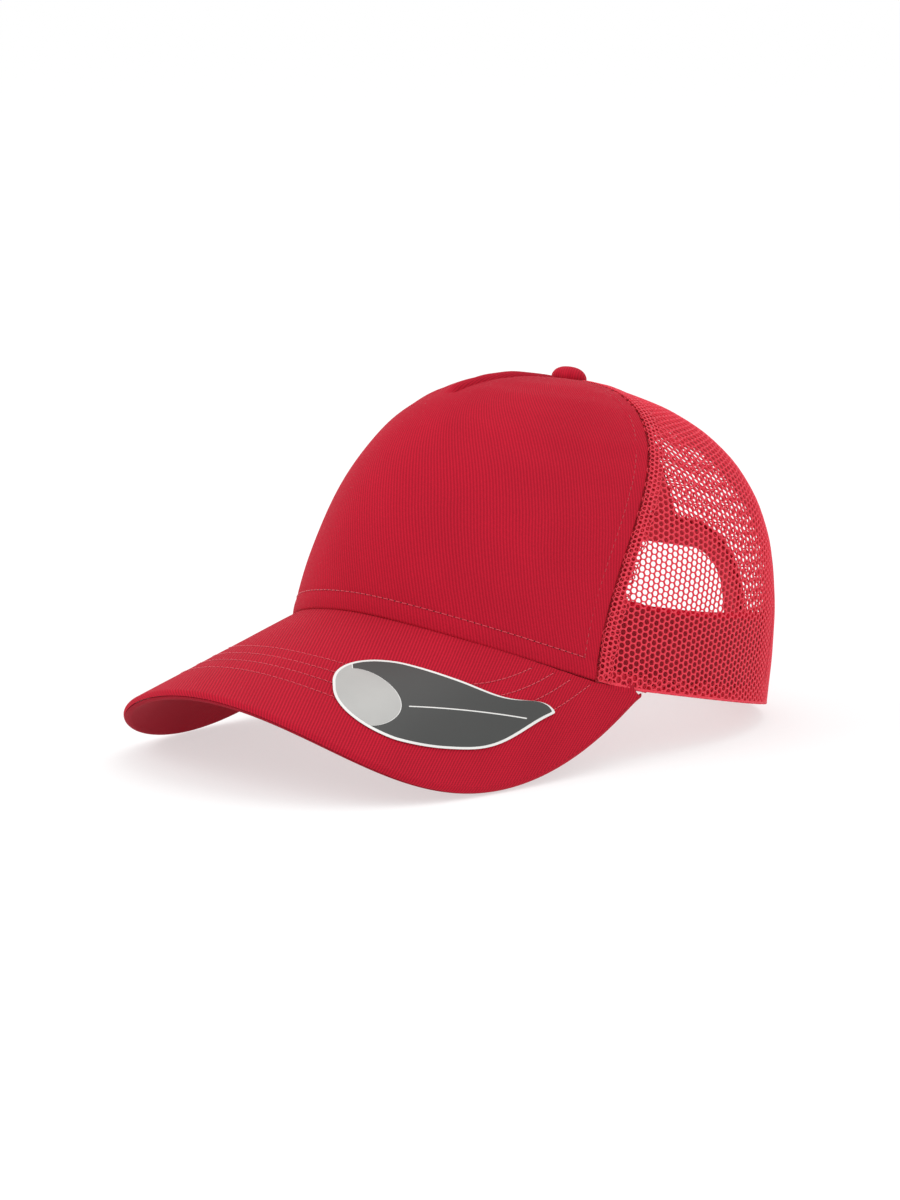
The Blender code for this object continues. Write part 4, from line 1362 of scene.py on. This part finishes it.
def button():
    """The covered button: twill gathered into shallow pleats under its rim."""
    sides = 144
    turn = TURN * np.arange(sides) / sides
    centre = np.array((0, BUTTON_SHIFT + LEAN * CROWN_HEIGHT, CROWN_HEIGHT))
    angle = np.linspace(0, BUTTON_TURN_UNDER, 26)
    corners = []
    for shrink, order in ((0.0, 1), (BUTTON_CLOTH, -1)):
        for a in angle[::order]:
            pleats = np.sin(BUTTON_PLEATS * turn + 0.6 * np.sin(2 * turn))
            pleat = PLEAT_DEPTH * smooth_step(a, 0.9, 1.6) * pleats
            radius = np.maximum((BUTTON_RADIUS - shrink) * math.sin(a) ** 0.9 + pleat, 0.02 * MM)
            height = (BUTTON_HEIGHT - shrink) * math.cos(a) + 0.9 * MM
            dent = 0.08 * MM * np.sin(2 * turn + 1) * math.sin(a)
            corners.append(join(radius * np.cos(turn), radius * np.sin(turn), height + dent))
    corners = np.array(corners)
    floor = surface_height(corners[..., 0], corners[..., 1])
    corners[..., 2] = np.maximum(corners[..., 2], floor + 0.05 * MM)
    faces = tube(np.arange(len(corners) * sides).reshape(-1, sides))
    piece("button_cloth", (corners + centre).reshape(-1, 3), faces, BUTTON_TWILL, node="button_cover",
          flat=corners[..., :2].reshape(-1, 2))


def surface_height(x, y):
    """Height of the crown near its top, relative to the top point, along a ray from it."""
    reach = 8 * MM
    points = shell(np.linspace(-math.pi, math.pi, 73)[:, None], np.linspace(0.9, 1, 40))
    out = np.hypot(points[..., 0], points[..., 1] - BUTTON_SHIFT - LEAN * CROWN_HEIGHT)
    level = np.array([np.interp(np.linspace(0, reach, 30), run[::-1], z[::-1])
                      for run, z in zip(out, points[..., 2])]) - CROWN_HEIGHT
    lap = (np.arctan2(x, -y) + math.pi) / TURN
    return read_table(level, lap, np.clip(np.hypot(x, y) / reach, 0, 1))


# ---- carried-over nodes, stage, lights and camera ----

def dress_nodes():
    for name, finish in (("front_backing", FLEECE), ("sweatband_interlining", RED_FLEECE),
                         ("visor_board", BOARD_PLASTIC), ("button_shell", METAL),
                         ("button_rivet", METAL), ("button_backplate", METAL)):
        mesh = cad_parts[name].data
        mesh.materials.clear()
        mesh.materials.append(finish)


def stage():
    mesh = bpy.data.meshes.new("floor")
    size = 14.0
    level = CAD_BOX[0][2] - 0.2 * MM
    corners = [(x * size, y * size, level) for x, y in ((-1, -1), (1, -1), (1, 1), (-1, 1))]
    mesh.from_pydata(corners, [], [(0, 1, 2, 3)])
    paint = Finish("floor_paint", (0.42, 0.42, 0.42), 0.9, None, specular_ior_level=0.0,
                   emission_color=(1, 1, 1, 1), emission_strength=0.58)
    mesh.materials.append(paint.material)
    floor = bpy.data.objects.new("floor", mesh)
    bpy.context.scene.collection.objects.link(floor)


def light(name, place, aim, size, power):
    lamp = bpy.data.lights.new(name, "AREA")
    lamp.shape = "DISK"
    lamp.size = size
    lamp.energy = power
    made = bpy.data.objects.new(name, lamp)
    made.location = place
    made.rotation_euler = (Vector(aim) - Vector(place)).to_track_quat("-Z", "Y").to_euler()
    bpy.context.scene.collection.objects.link(made)


def lights():
    world = bpy.data.worlds.new("studio")
    world.use_nodes = True
    background = world.node_tree.nodes["Background"]
    background.inputs["Color"].default_value = (1, 1, 1, 1)
    background.inputs["Strength"].default_value = 1.0
    bpy.context.scene.world = world
    aim = (0, 0, 0.05)
    light("key", (-1.1, -1.6, 1.7), aim, 1.5, 12)
    light("top", (0.2, 0.3, 2.5), aim, 2.0, 10)


def camera():
    lens = bpy.data.cameras.new("camera")
    lens.lens = VIEW_LENS
    lens.sensor_width = 36
    lens.shift_x, lens.shift_y = VIEW_SHIFT
    lens.clip_start = 0.05
    lens.clip_end = 60
    bpy.context.scene.view_settings.view_transform = "Standard"
    made = bpy.data.objects.new("camera", lens)
    level = math.cos(VIEW_ELEVATION)
    back = Vector((math.sin(VIEW_AZIMUTH) * level, -math.cos(VIEW_AZIMUTH) * level, math.sin(VIEW_ELEVATION)))
    turn = (-back).to_track_quat("-Z", "Y").to_matrix().to_4x4() @ Matrix.Rotation(VIEW_ROLL, 4, "Z")
    made.matrix_world = Matrix.Translation(SIT + back * VIEW_DISTANCE) @ turn
    bpy.context.scene.collection.objects.link(made)
    bpy.context.scene.camera = made


camera()
lights()
stage()
dress_nodes()
front_panel()
front_stitching()
net_panels()
net_folds()
tapes()
sweatband()
care_label()
visor_ply("visor_top_cloth", True, "visor_top_cover")
visor_ply("visor_under_cloth", False, "visor_under_cover")
visor_stitching()
sticker()
arch_binding()
straps()
button()
